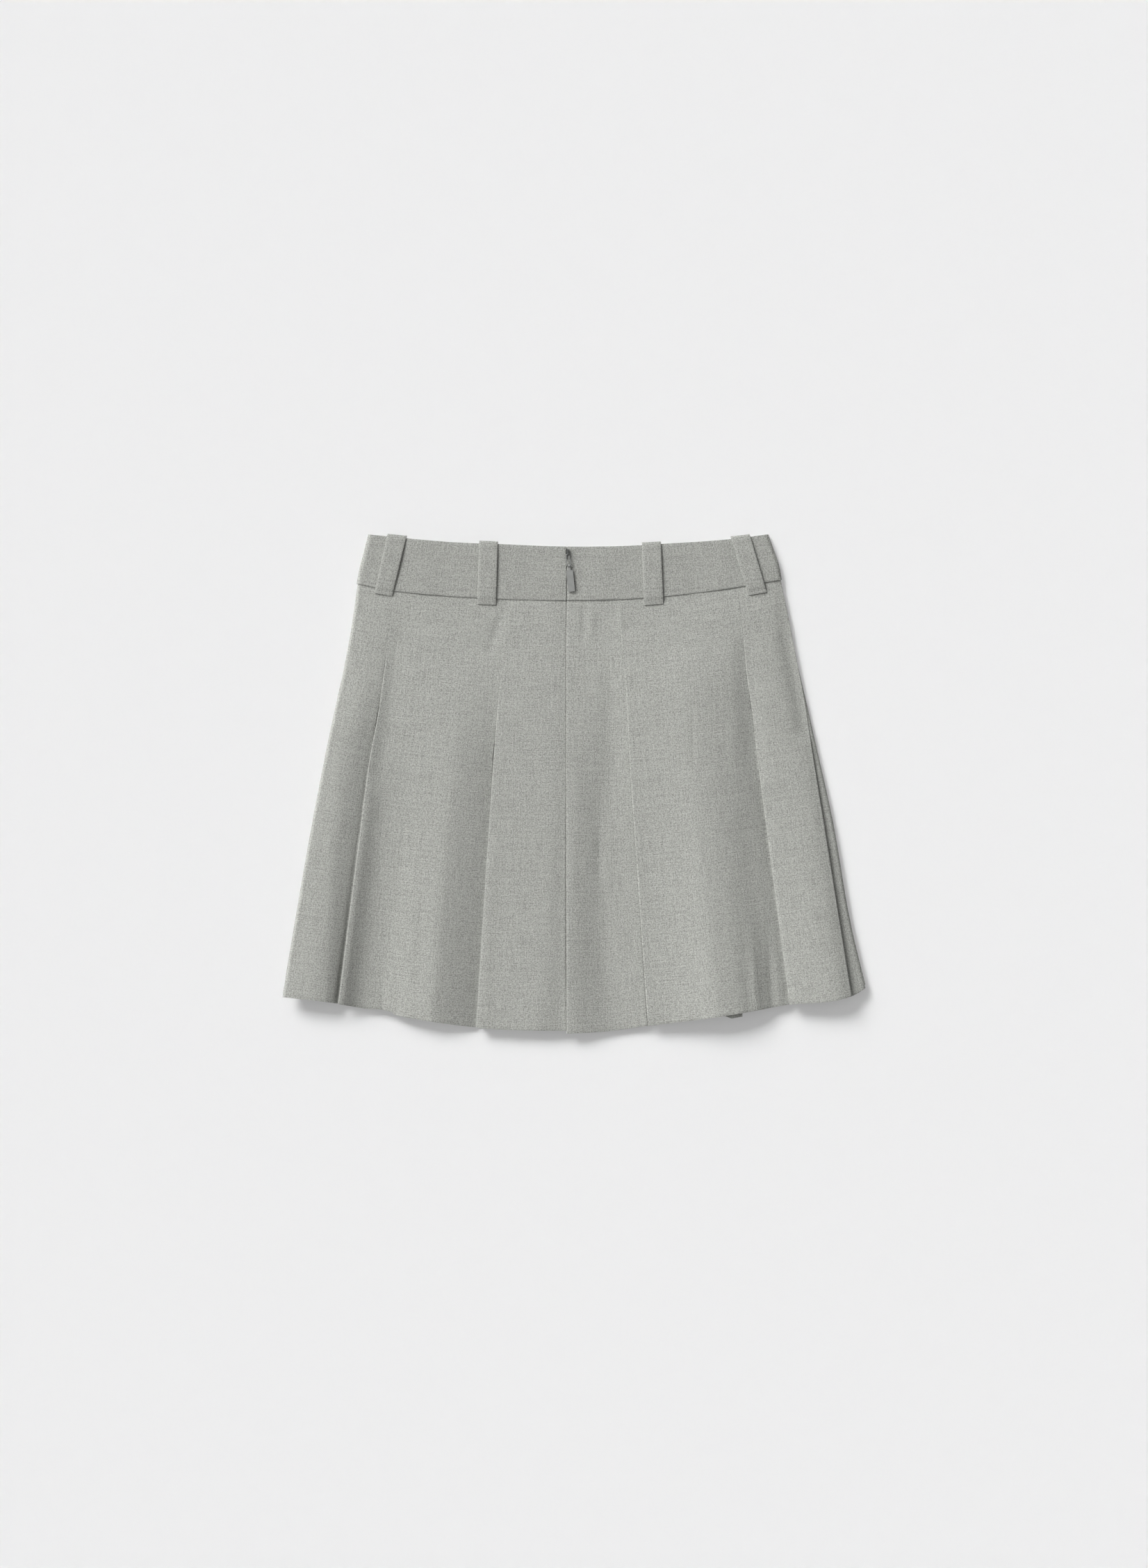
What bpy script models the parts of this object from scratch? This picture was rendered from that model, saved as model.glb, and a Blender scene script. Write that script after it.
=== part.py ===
"""Micro mini skirt with knife pleats and a shaped waistband, laid flat with its back up.

The skirt is a flattened tube. Its front lies on the surface and its back lies on the front. Each
cloth piece is an open surface, drawn through level sections from its upper edge to its lower one,
and Solidify gives it its wall. A pleat is a true Z-fold of that surface: three layers, two turns.

Sizes are in millimetres. Across is measured to the right of the centre back seam, down from the
top of the waistband at centre back, and up from the surface that the skirt lies on.
"""

import math

import bmesh
import bpy
import numpy as np
from mathutils import Matrix

MM = 0.001

# Walls and clearances
CLOTH = 1.0
BAND = 2.0
LOOP = 1.2
TAPE = 0.6
SEAM = 0.3
REST = 0.3

# Pleats: the height from one layer to the next, at the waist seam and at the hem
LAYER_SEAM = 1.35
LAYER_HEM = 1.70
TURN_POINTS = 4

# Pleats: how much shorter the hidden layers and the front are at the hem
HIDDEN_HEM = 2.0
FRONT_HEM = 3.0

# Panels: where their level or sloping stretches start and end, measured from a fold edge, from the
# end of the hidden layers under them, or from a side
BEFORE_EDGE = 2.0
BEFORE_CENTRE = 2.5
UNDER_CENTRE = (8.0, 9.0)
CENTRE_LEVEL = (7.0, 14.0)
CENTRE_TURN = 12.0
LAST_LEVEL = (4.0, 3.0)
AFTER_HIDDEN = 1.5
FROM_SIDE = 6.0
TO_SIDE = 4.0
FRONT_DESCENT = (1.2, 8.5)
FRONT_LAST = 12.0

# Side edges: how far a layer rounds over before it runs level, and how far it stands upright at the seam
SIDE_ROUND = 2.2
SIDE_POINTS = 4
SIDE_STUB = 0.4

# Waistband: the height of its middle surface
BAND_FRONT_UP = 1.0
BAND_SIDE_UP = 5.2
BAND_CROWN = 1.4
BAND_HALF = 175.0
BAND_POINTS = 12
BAND_LEVEL_FROM = 8.0

# Belt loops: how far they stand past the band's upper edge, and their slack over the band
LOOP_PROUD = 2.2
LOOP_SLACK = 1.0

# Zip: where it ends and the centre pleat starts, as parts of the way from waist seam to hem
ZIP_END = 0.40
PLEAT_START = 0.46
TAPE_WIDTH = 12.0
TAPE_TOP = 1.2
TAPE_BOTTOM = 185.0

# Front's centre pleat: how deep it is at the waist seam and at the hem
FRONT_CENTRE_DEPTH = (28.0, 48.0)

# Pivot of the pull in the slider's crown, and how far the pull leans to the right
PIVOT_ACROSS = 1.2
PIVOT_DOWN = 6.4
PIVOT_UP = 9.25
PULL_LEAN = math.radians(6.0)

# Slider: sizes across, down and up, and places right of the seam, down and up
SLIDER_BODY = (8.0, 9.0, 1.9)
SLIDER_PLACE = (0.0, 6.0, 3.5)
SLIDER_ROUND = 0.6
NECK = (0.9, 2.8, 4.6)
NECK_PLACE = (0.1, 4.0, 6.2)
CROWN_HALF = 0.6
CROWN_EYE = 0.72
CROWN_RIM = 1.32
CROWN_FOOT = [(-2.9, 1.22), (-2.2, 0.4), (-2.2, -CROWN_RIM)]

# Link: a closed wire, wider at its lower bar
LINK_LENGTH = 9.7
WIRE = 0.42
LINK_TOP_HALF = 1.25
LINK_LOW_HALF = 1.65
LINK_CORNER = 0.55

# Tab: a barrel round the link's lower bar, a neck and a plate, from the barrel's axis down
BARREL = 1.12
BORE = 0.66
BARREL_HALF = 0.95
NECK_HALF = 1.0
NECK_START = 0.85
PLATE_HALF = 2.75
PLATE_START = 3.7
PLATE_END = 21.3
PLATE_CORNER = 0.5
PLATE_THICK = 1.3
PLATE_UP = -0.5

CLOTH_COLOUR = (0.376, 0.381, 0.356)
TAPE_COLOUR = (0.24, 0.25, 0.24)
METAL_COLOUR = (0.29, 0.30, 0.30)
PAINT_COLOUR = (0.25, 0.255, 0.245)

# How far down the waist seam and the hem lie at centre back
WAIST_CENTRE = 44.6
HEM_CENTRE = 399.9


def table(columns, *rows):
    """A short table with named columns."""
    return dict(zip(columns.split(), np.array(rows, dtype=float).T))


# Outer sides of the skirt and its fold edges, at parts of the way from waist seam (0) to hem (1)
DOWN = table(
    "part left edge_1 edge_2 centre edge_4 edge_5 edge_6 right",
    (0.0, -172.6, -142.0, -49.5, 0.5, 42.0, 142.6, 177.1, 176.3),
    (0.1, -177.4, -146.4, -52.3, 0.1, 45.4, 145.6, 184.2, 183.6),
    (0.2, -183.5, -150.7, -55.2, 0.0, 48.7, 148.6, 190.8, 190.7),
    (0.3, -190.9, -155.5, -58.1, 0.0, 50.8, 153.4, 197.4, 198.5),
    (0.4, -198.1, -161.8, -60.8, 0.0, 52.8, 157.3, 202.5, 206.2),
    (0.6, -211.2, -170.8, -65.4, 0.0, 57.6, 166.1, 213.5, 221.2),
    (0.8, -223.0, -179.5, -69.9, 0.2, 62.4, 175.0, 224.4, 232.6),
    (1.0, -234.0, -188.1, -74.5, 0.4, 67.3, 184.0, 235.2, 247.0),
)

# How deep the hidden layers of each pleat reach under it, at the same parts
DEPTH = table(
    "part fold_1 fold_2 fold_3 fold_4 fold_5 fold_6",
    (0.0, 80.0, 32.0, 24.0, 84.0, 14.0, 12.0),
    (0.4, 82.0, 44.0, 24.0, 80.0, 17.0, 13.0),
    (1.0, 84.0, 50.0, 32.0, 73.0, 24.0, 18.0),
)

# Upper edge of the waistband, the waist seam and the hem: how far down they run
BAND_TOP = table(
    "across down",
    (-166, -10.4), (-129, -6.6), (-95, -3.7), (-53, -2.0), (0, 0.0),
    (57, -0.9), (85, -2.6), (112, -4.3), (133, -6.0), (168, -10.4),
)
WAIST = table(
    "across down",
    (-174, 30.6), (-148, 35.9), (-124, 38.8), (-55, 43.4), (0, WAIST_CENTRE), (63, 42.8), (145, 33.1), (179, 27.1),
)
HEM_LEFT = table(
    "across down",
    (-234, 371.7), (-195, 376.3), (-161, 382.8), (-128, 389.4), (-106, 393.0), (-74, 397.3), (0, HEM_CENTRE), (40, 400.4),
)
HEM_RIGHT = table(
    "across down",
    (0, 402.2), (35, 400.4), (67, 396.0), (85, 393.6), (118, 389.1), (148, 384.4), (184, 378.3),
    (228, 373.2), (240, 369.2), (247, 364.5),
)

# Outer sides of the waistband, at parts of the way from its upper edge to the waist seam
BAND_SIDES = table(
    "part left right",
    (0.0, -163.8, 167.0),
    (0.3, -167.0, 171.0),
    (0.7, -171.2, 176.0),
    (1.0, -173.4, 178.2),
)

# Belt loops: the middle of each end, its width there, and the height of the cloth that its foot lies on
LOOPS = table(
    "top_across top_down foot_across foot_down top_width foot_width foot_up",
    (-139.6, -9.6, -151.1, 39.9, 15.8, 14.6, 5.0),
    (-64.2, -4.6, -65.8, 48.1, 15.4, 15.5, 7.7),
    (70.2, -4.9, 72.1, 48.2, 15.7, 16.2, 7.7),
    (143.4, -9.2, 158.0, 39.2, 15.8, 15.2, 7.7),
)


def smooth(at, xs, ys):
    """Cubic curve through a table's points, each point's slope taken from its neighbours."""
    slopes = np.gradient(ys, xs)
    i = np.clip(np.searchsorted(xs, at) - 1, 0, len(xs) - 2)
    step = xs[i + 1] - xs[i]
    t = (at - xs[i]) / step
    start = (1 + 2 * t) * (1 - t) ** 2 * ys[i] + t * (1 - t) ** 2 * step * slopes[i]
    return start + t * t * (3 - 2 * t) * ys[i + 1] + t * t * (t - 1) * step * slopes[i + 1]


def edge_curve(points):
    """A function that gives how far down an edge runs at each place across."""
    return lambda across: smooth(across, points["across"], points["down"])


def down_skirt(column, parts):
    """A column of the skirt's tables at any parts of the way from waist seam to hem."""
    source = DOWN if column in DOWN else DEPTH
    return smooth(parts, source["part"], source[column])


def layer_height(parts):
    """From the middle of one layer of a pleat to the middle of the next."""
    return LAYER_SEAM + (LAYER_HEM - LAYER_SEAM) * parts


def back_ground(parts):
    """Middle of the back's lowest layer, just above the front's three layers."""
    return CLOTH + 2 * layer_height(parts) + REST + CLOTH / 2 + np.zeros_like(parts)


def line(x_from, x_to, up_from, up_to, count, lift=0.0):
    """Points along a stretch of each section, ends included, that rises or falls as a soft S."""
    part = np.linspace(0, 1, count)
    ease = part * part * (3 - 2 * part)
    x = np.outer(x_from, 1 - part) + np.outer(x_to, part)
    up = np.outer(up_from, 1 - ease) + np.outer(up_to, ease)
    return np.dstack([x, up, np.full_like(x, lift)])


def fold(first, second, up_from, up_to, lift_from, lift_to):
    """The two turns of a pleat: level, round at first, back, round at second, level again.

    Each turn is an arc whose radius is a quarter of the height between the outer layers. The
    angle of the stretch between them is that of the line that touches both arcs.
    """
    sign = np.sign(up_to - up_from)
    radius = np.abs(up_to - up_from) / 4
    x_1, x_2 = first - radius, second + radius
    across, high = x_2 - x_1, np.abs(up_to - up_from) - 2 * radius
    angle = np.arctan2(high, across) + np.arcsin(np.clip(2 * radius / np.hypot(across, high), -1, 1))
    turn = np.outer(angle, np.linspace(0, 1, TURN_POINTS))
    r, s = radius[:, None], sign[:, None]
    lifts = np.ones_like(turn)
    one = np.dstack([x_1[:, None] + r * np.sin(turn), up_from[:, None] + s * r * (1 - np.cos(turn)), lift_from * lifts])
    back = turn[:, ::-1]
    fade = np.linspace(0, 1, TURN_POINTS)
    two = np.dstack([
        x_2[:, None] - r * np.sin(back),
        up_to[:, None] - s * r * (1 - np.cos(back)),
        lift_from * (1 - fade) * lifts + lift_to * fade * lifts,
    ])
    return np.concatenate([one, two], axis=1)


def side(edge, inward, up_edge, up_level, wall):
    """A rounded side, upright at its seam, then a quarter of an ellipse to the level layer."""
    angle = np.concatenate([[0], np.linspace(0, math.pi / 2, SIDE_POINTS)])
    x = edge[:, None] + inward * (wall / 2 + SIDE_ROUND * (1 - np.cos(angle)))
    start = up_edge + SIDE_STUB * np.sign(up_level - up_edge)
    up = np.outer(start, 1 - np.sin(angle)) + np.outer(up_level, np.sin(angle))
    up[:, 0] = up_edge
    return np.dstack([x, up, np.zeros_like(x)])


def side_seam_up(low, high):
    """Where the front and the back meet at a side: half way between their middles."""
    return (low + high) / 2


def mesh_object(name, points, faces, material, thickness=None):
    """An object from points in millimetres, without the points that no face uses."""
    used, compact = np.unique(faces, return_inverse=True)
    mesh = bpy.data.meshes.new(name)
    mesh.from_pydata((points[used] * MM).tolist(), [], compact.reshape(faces.shape).tolist())
    mesh.materials.append(material)
    mesh.shade_smooth()
    mesh.set_sharp_from_angle(angle=math.radians(40))
    item = bpy.data.objects.new(name, mesh)
    skirt.objects.link(item)
    if thickness:
        wall = item.modifiers.new("Wall", "SOLIDIFY")
        wall.thickness = thickness * MM
        wall.offset = 0
    return item


def grid_object(name, points, material, thickness, keep=None):
    """A walled surface through a grid of points, whole or only where it is kept."""
    rows, columns = points.shape[:2]
    index = np.arange(rows * columns).reshape(rows, columns)
    quads = np.dstack([index[:-1, :-1], index[1:, :-1], index[1:, 1:], index[:-1, 1:]])
    if keep is not None:
        quads = quads[keep]
    return mesh_object(name, points.reshape(-1, 3), quads.reshape(-1, 4), material, thickness)


def panel(name, section, parts, upper, lower, wall, material, keep=None):
    """A cloth piece from its sections, one row each, between its upper and its lower edge."""
    x, up, lift = section[..., 0], section[..., 1], section[..., 2]
    top = upper(x) + lift / 2
    down = top + parts[:, None] * (lower(x) - lift - top)
    return grid_object(name, np.dstack([x, -down, up]), material, wall, keep)


def hidden(edge, depth, up, count=2):
    """The stretch of a lower layer under a pleat, whose hem is a little shorter."""
    return line(edge + 0.25 * depth, edge + 0.75 * depth, up, up, count, HIDDEN_HEM)


def back_pleat(edge, depth, ground, high):
    """A pleat of the back, whose fold edge faces left and whose upper layer runs on to the right."""
    return [
        hidden(edge, depth, ground),
        fold(edge + depth, edge + CLOTH / 2, ground, high, HIDDEN_HEM, 0),
        line(edge + 0.25 * depth, edge + 0.75 * depth, high, high, 3),
    ]


def make_back(cloth):
    parts = np.array([0, 0.1, 0.2, 0.3, ZIP_END, PLEAT_START, 0.55, 0.66, 0.78, 0.9, 1.0])
    at = {name: down_skirt(name, parts) for name in list(DOWN) + list(DEPTH) if name != "part"}
    ground = back_ground(parts)
    high = ground + 2 * layer_height(parts)
    middle = ground + layer_height(parts)
    seam_up = side_seam_up(CLOTH / 2, ground) + SEAM / 2
    zipped = parts <= ZIP_END
    upper_edge = edge_curve(WAIST)

    def upper(across):
        return upper_edge(across) + SEAM / 2

    centre_end = np.where(zipped, high, ground)
    left = np.concatenate([
        side(at["left"], 1, seam_up, ground, CLOTH),
        line(at["left"] + FROM_SIDE, at["edge_1"] - BEFORE_EDGE, ground, ground, 3),
        *back_pleat(at["edge_1"], at["fold_1"], ground, high),
        line(at["edge_1"] + at["fold_1"] + AFTER_HIDDEN, at["edge_2"] - BEFORE_EDGE, high, ground, 5),
        *back_pleat(at["edge_2"], at["fold_2"], ground, high),
        line(at["edge_2"] + at["fold_2"] + AFTER_HIDDEN, at["centre"] - BEFORE_CENTRE, high, centre_end, 4),
        line(at["centre"] - SEAM / 2, at["centre"] - SEAM / 2, centre_end, centre_end, 1),
        line(at["centre"] + UNDER_CENTRE[0], at["centre"] + at["fold_3"], ground, ground, 2, HIDDEN_HEM),
    ], axis=1)
    keep = np.ones((len(parts) - 1, left.shape[1] - 1), dtype=bool)
    keep[parts[:-1] < PLEAT_START, -2:] = False
    panel("skirt_back_left", left, parts, upper, edge_curve(HEM_LEFT), CLOTH, cloth, keep)

    # The right piece starts at the opening. Below the zip its edge is the fold of the centre pleat.
    radius = (high - ground) / 4
    edge_3 = np.where(zipped, at["centre"] + SEAM / 2 - radius, at["centre"] + SEAM / 2 + CLOTH / 2)
    centre_turn = fold(edge_3 + CENTRE_TURN, edge_3, ground, high, HIDDEN_HEM, 0)[:, TURN_POINTS:]
    reach = np.maximum(at["fold_3"] + BEFORE_CENTRE, CENTRE_LEVEL[1] + 1)
    right = np.concatenate([
        line(at["centre"] + at["fold_3"] - 0.5, at["centre"] + UNDER_CENTRE[1], middle, middle, 2, HIDDEN_HEM),
        centre_turn,
        line(at["centre"] + CENTRE_LEVEL[0], at["centre"] + CENTRE_LEVEL[1], high, high, 2),
        line(at["centre"] + reach, at["edge_4"] - BEFORE_EDGE, high, ground, 5),
        *back_pleat(at["edge_4"], at["fold_4"], ground, high),
        line(at["edge_4"] + at["fold_4"] + AFTER_HIDDEN, at["edge_5"] - BEFORE_EDGE, high, ground, 5),
        *back_pleat(at["edge_5"], at["fold_5"], ground, high),
        line(at["edge_5"] + at["fold_5"] + LAST_LEVEL[0], at["edge_6"] - LAST_LEVEL[1], high, high, 2),
        fold(at["edge_6"] - CLOTH / 2, at["edge_6"] - at["fold_6"], high, ground, 0, HIDDEN_HEM),
        line(at["edge_6"] - 0.5 * at["fold_6"], at["right"] - TO_SIDE, ground, ground, 2),
        side(at["right"], -1, seam_up, ground, CLOTH)[:, ::-1],
    ], axis=1)
    keep = np.ones((len(parts) - 1, right.shape[1] - 1), dtype=bool)
    keep[parts[:-1] < PLEAT_START, : TURN_POINTS + 1] = False
    panel("skirt_back_right", right, parts, upper, edge_curve(HEM_RIGHT), CLOTH, cloth, keep)


def make_front(cloth):
    """The front, with its outer face on the surface and its pleats' hidden layers above."""
    parts = np.array([0, 0.1, 0.2, 0.3, 0.4, 0.6, 0.8, 1.0])
    at = {name: down_skirt(name, parts) for name in list(DOWN) + list(DEPTH) if name != "part"}
    low = np.full_like(parts, CLOTH / 2)
    high = low + 2 * layer_height(parts)
    seam_up = side_seam_up(CLOTH / 2, back_ground(parts)) - SEAM / 2
    pleats = [
        (-at["edge_5"], at["fold_5"]),
        (-at["edge_4"], at["fold_4"]),
        (0 * parts, FRONT_CENTRE_DEPTH[0] + (FRONT_CENTRE_DEPTH[1] - FRONT_CENTRE_DEPTH[0]) * parts),
        (-at["edge_2"], at["fold_2"]),
        (-at["edge_1"], at["fold_1"]),
    ]
    pieces = [side(at["left"], 1, seam_up, low, CLOTH)]
    for edge, depth in pleats:
        pieces += [
            line(edge - depth, edge - 0.2 * depth, low, low, 4),
            fold(edge, edge - depth, low, high, HIDDEN_HEM, HIDDEN_HEM),
            line(edge - 0.5 * depth, edge - 0.5 * depth, high, high, 1, HIDDEN_HEM),
            line(edge + FRONT_DESCENT[0], edge + FRONT_DESCENT[1], high, low, 4),
        ]
    pieces += [
        line(at["right"] - FRONT_LAST, at["right"] - TO_SIDE, low, low, 2),
        side(at["right"], -1, seam_up, low, CLOTH)[:, ::-1],
    ]
    waist, left, right = edge_curve(WAIST), edge_curve(HEM_LEFT), edge_curve(HEM_RIGHT)

    def upper(across):
        return waist(across) + SEAM / 2

    def lower(across):
        return np.where(across < 0, left(np.minimum(across, 0)), right(np.maximum(across, 0))) - FRONT_HEM

    panel("skirt_front", np.concatenate(pieces, axis=1), parts, upper, lower, CLOTH, cloth)


def band_up(across):
    """Middle of the back waistband, which crowns over the zip."""
    return BAND_SIDE_UP + BAND_CROWN * (1 - (across / BAND_HALF) ** 2)


def opening(down):
    """Half the gap at centre back, wider where the slider's neck comes through."""
    return np.interp(down, [0.0, 2.0, 6.0, 9.0], [0.45, 0.8, 0.8, SEAM / 2])


def band_section(edge, end, inward, parts, seam_up, level_up):
    """A section of the band from its side seam to an end, at a height that depends on the place."""
    bend = side(edge, inward, np.full_like(parts, seam_up), level_up(edge), BAND)
    part = np.linspace(0, 1, BAND_POINTS)
    x = np.outer(edge + inward * BAND_LEVEL_FROM, 1 - part) + np.outer(end, part)
    return np.concatenate([bend, np.dstack([x, level_up(x), np.zeros_like(x)])], axis=1)


def make_waistband(cloth):
    upper, waist = edge_curve(BAND_TOP), edge_curve(WAIST)

    def lower(across):
        return waist(across) - SEAM / 2

    parts = np.array([0, 0.05, 0.13, 0.2, 0.45, 0.75, 1.0])
    edges = {name: smooth(parts, BAND_SIDES["part"], BAND_SIDES[name]) for name in ("left", "right")}
    centre = np.full_like(parts, DOWN["centre"][0])
    half = opening(parts * (WAIST_CENTRE - SEAM / 2))
    seam_up = side_seam_up(BAND_FRONT_UP, BAND_SIDE_UP)
    for name, end, inward in (("left", centre - half, 1), ("right", centre + half, -1)):
        section = band_section(edges[name], end, inward, parts, seam_up + SEAM / 2, band_up)
        panel(f"waistband_back_{name}", section, parts, upper, lower, BAND, cloth)

    parts = np.array([0, 0.3, 0.7, 1.0])
    edges = {name: smooth(parts, BAND_SIDES["part"], BAND_SIDES[name]) for name in ("left", "right")}
    middle = np.zeros_like(parts)

    def level(across):
        return np.full_like(across, BAND_FRONT_UP)

    halves = [band_section(edges[name], middle, inward, parts, seam_up - SEAM / 2, level)
              for name, inward in (("left", 1), ("right", -1))]
    section = np.concatenate([halves[0], halves[1][:, -2::-1]], axis=1)
    panel("waistband_front", section, parts, upper, lower, BAND, cloth)


def make_loop(name, top, foot, widths, foot_up, cloth):
    """A flat loop: over the band's upper edge, along the band with a little slack, onto the skirt.

    Its route is a list of distances down from its top and heights.
    """
    length = math.dist(top, foot)
    band = band_up(np.array([top[0], foot[0]])) + BAND / 2
    lying = REST + LOOP / 2
    seam_top = max(band[1], foot_up)
    route = np.array([
        (LOOP / 2, band[0] - 1.3),
        (LOOP / 2, band[0] - 0.2),
        (LOOP / 2 + 0.5, band[0] + lying - 0.2),
        (LOOP + 1.2, band[0] + lying),
        (0.3 * length, band[0] + lying + LOOP_SLACK),
        (0.6 * length, band.mean() + lying + LOOP_SLACK),
        (length - 9.0, seam_top + lying + 0.4),
        (length - 4.0, seam_top + lying),
        (length, foot_up + lying),
    ])
    part = route[:, :1] / length
    sides = np.array([-0.5, 0, 0.5])
    ends_x = [end[0] + width * sides for end, width in ((top, widths[0]), (foot, widths[1]))]
    band_edge, waist = edge_curve(BAND_TOP), edge_curve(WAIST)
    ends_down = [band_edge(ends_x[0]) - LOOP_PROUD, foot[1] + waist(ends_x[1]) - waist(foot[0])]
    x = (1 - part) * ends_x[0] + part * ends_x[1]
    down = (1 - part) * ends_down[0] + part * ends_down[1]
    grid_object(name, np.dstack([x, -down, np.repeat(route[:, 1:], 3, axis=1)]), cloth, LOOP)


def make_loops(cloth):
    for i in range(len(LOOPS["top_across"])):
        row = {name: column[i] for name, column in LOOPS.items()}
        make_loop(
            f"belt_loop_{i + 1}",
            (row["top_across"], row["top_down"]),
            (row["foot_across"], row["foot_down"]),
            (row["top_width"], row["foot_width"]),
            row["foot_up"],
            cloth,
        )


def make_zip_tapes(tape):
    """Two tapes inside the opening, just under the waistband and the back's high middle."""
    down = np.array([TAPE_TOP, 3, 6, 9, 25, WAIST_CENTRE - 1.5, WAIST_CENTRE + 8, 85, 120, 155, TAPE_BOTTOM])
    parts = np.clip((down - WAIST_CENTRE) / (HEM_CENTRE - WAIST_CENTRE), 0, 1)
    skirt_under = back_ground(parts) + 2 * layer_height(parts) - CLOTH / 2
    band_under = band_up(0.0) - BAND / 2
    under = np.where(down < WAIST_CENTRE, band_under, skirt_under) - REST - TAPE / 2
    centre = np.interp(down, [WAIST_CENTRE, WAIST_CENTRE + 40], [DOWN["centre"][0], 0])
    for name, way in (("left", -1), ("right", 1)):
        x = centre[:, None] + way * np.column_stack([opening(down) + 0.1, opening(down) + 2, np.full_like(down, TAPE_WIDTH)])
        points = np.dstack([x, -np.repeat(down[:, None], 3, axis=1), np.repeat(under[:, None], 3, axis=1)])
        grid_object(f"zip_tape_{name}", points, tape, TAPE)


def outline_object(name, outlines, half_thickness, material, target):
    """A flat outline with any holes, filled and given its thickness, as a mesh."""
    curve = bpy.data.curves.new(name, "CURVE")
    curve.dimensions = "2D"
    curve.fill_mode = "BOTH"
    curve.extrude = half_thickness * MM
    for outline in outlines:
        spline = curve.splines.new("POLY")
        spline.points.add(len(outline) - 1)
        for point, (x, y) in zip(spline.points, outline):
            point.co = (x * MM, y * MM, 0, 1)
        spline.use_cyclic_u = True
    return curve_to_mesh(name, curve, material, target)


def curve_to_mesh(name, curve, material, target):
    """The curve's closed solid as a mesh object, its caps welded."""
    drawn = bpy.data.objects.new(name + "_outline", curve)
    target.objects.link(drawn)
    bpy.context.view_layer.update()
    mesh = bpy.data.meshes.new_from_object(drawn.evaluated_get(bpy.context.evaluated_depsgraph_get()))
    work = bmesh.new()
    work.from_mesh(mesh)
    bmesh.ops.remove_doubles(work, verts=work.verts, dist=0.00001)
    work.to_mesh(mesh)
    work.free()
    mesh.materials.clear()
    mesh.materials.append(material)
    bpy.data.objects.remove(drawn)
    item = bpy.data.objects.new(name, mesh)
    target.objects.link(item)
    return item


def arc(centre, radius, start, end, count):
    """Points on a circle between two angles in degrees."""
    angle = np.radians(np.linspace(start, end, count))
    return [(centre[0] + radius * math.cos(a), centre[1] + radius * math.sin(a)) for a in angle]


def block(name, size, centre, material, target):
    """A box of a size, at a centre, both in millimetres."""
    bpy.ops.mesh.primitive_cube_add(size=1)
    item = bpy.context.object
    item.name = item.data.name = name
    item.data.transform(Matrix.Diagonal([*(value * MM for value in size), 1]))
    item.location = [value * MM for value in centre]
    item.data.materials.append(material)
    for holder in item.users_collection:
        holder.objects.unlink(item)
    target.objects.link(item)
    return item


def unite(item, other):
    """Joins another solid to an object, which keeps it as a hidden operand."""
    join = item.modifiers.new("Join " + other.name, "BOOLEAN")
    join.operation = "UNION"
    join.object = other
    other.hide_render = True
    other.display_type = "WIRE"


def place_at(centre, place):
    """A place right of the seam, down and up, as across, away and up."""
    return (centre + place[0], -place[1], place[2])


def make_slider(metal):
    """The slider: a body behind the band, a neck through the opening and a crown outside."""
    centre = DOWN["centre"][0]
    body = block("zip_slider", SLIDER_BODY, place_at(centre, SLIDER_PLACE), metal, skirt)
    round_off = body.modifiers.new("Rounded", "BEVEL")
    round_off.width = SLIDER_ROUND * MM
    round_off.segments = 2
    neck = block("slider_neck", NECK, place_at(centre, NECK_PLACE), metal, operands)
    outline = [(-PIVOT_DOWN, -CROWN_RIM), *arc((-PIVOT_DOWN, 0), CROWN_RIM, -110, -250, 9)[1:], *CROWN_FOOT]
    hole = arc((-PIVOT_DOWN, 0), CROWN_EYE, 0, 330, 12)
    crown = outline_object("slider_crown", [outline, hole], CROWN_HALF, metal, operands)
    crown.rotation_euler = (math.pi / 2, 0, math.pi / 2)
    crown.location = (PIVOT_ACROSS * MM, 0, PIVOT_UP * MM)
    unite(body, neck)
    unite(body, crown)
    return body


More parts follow.
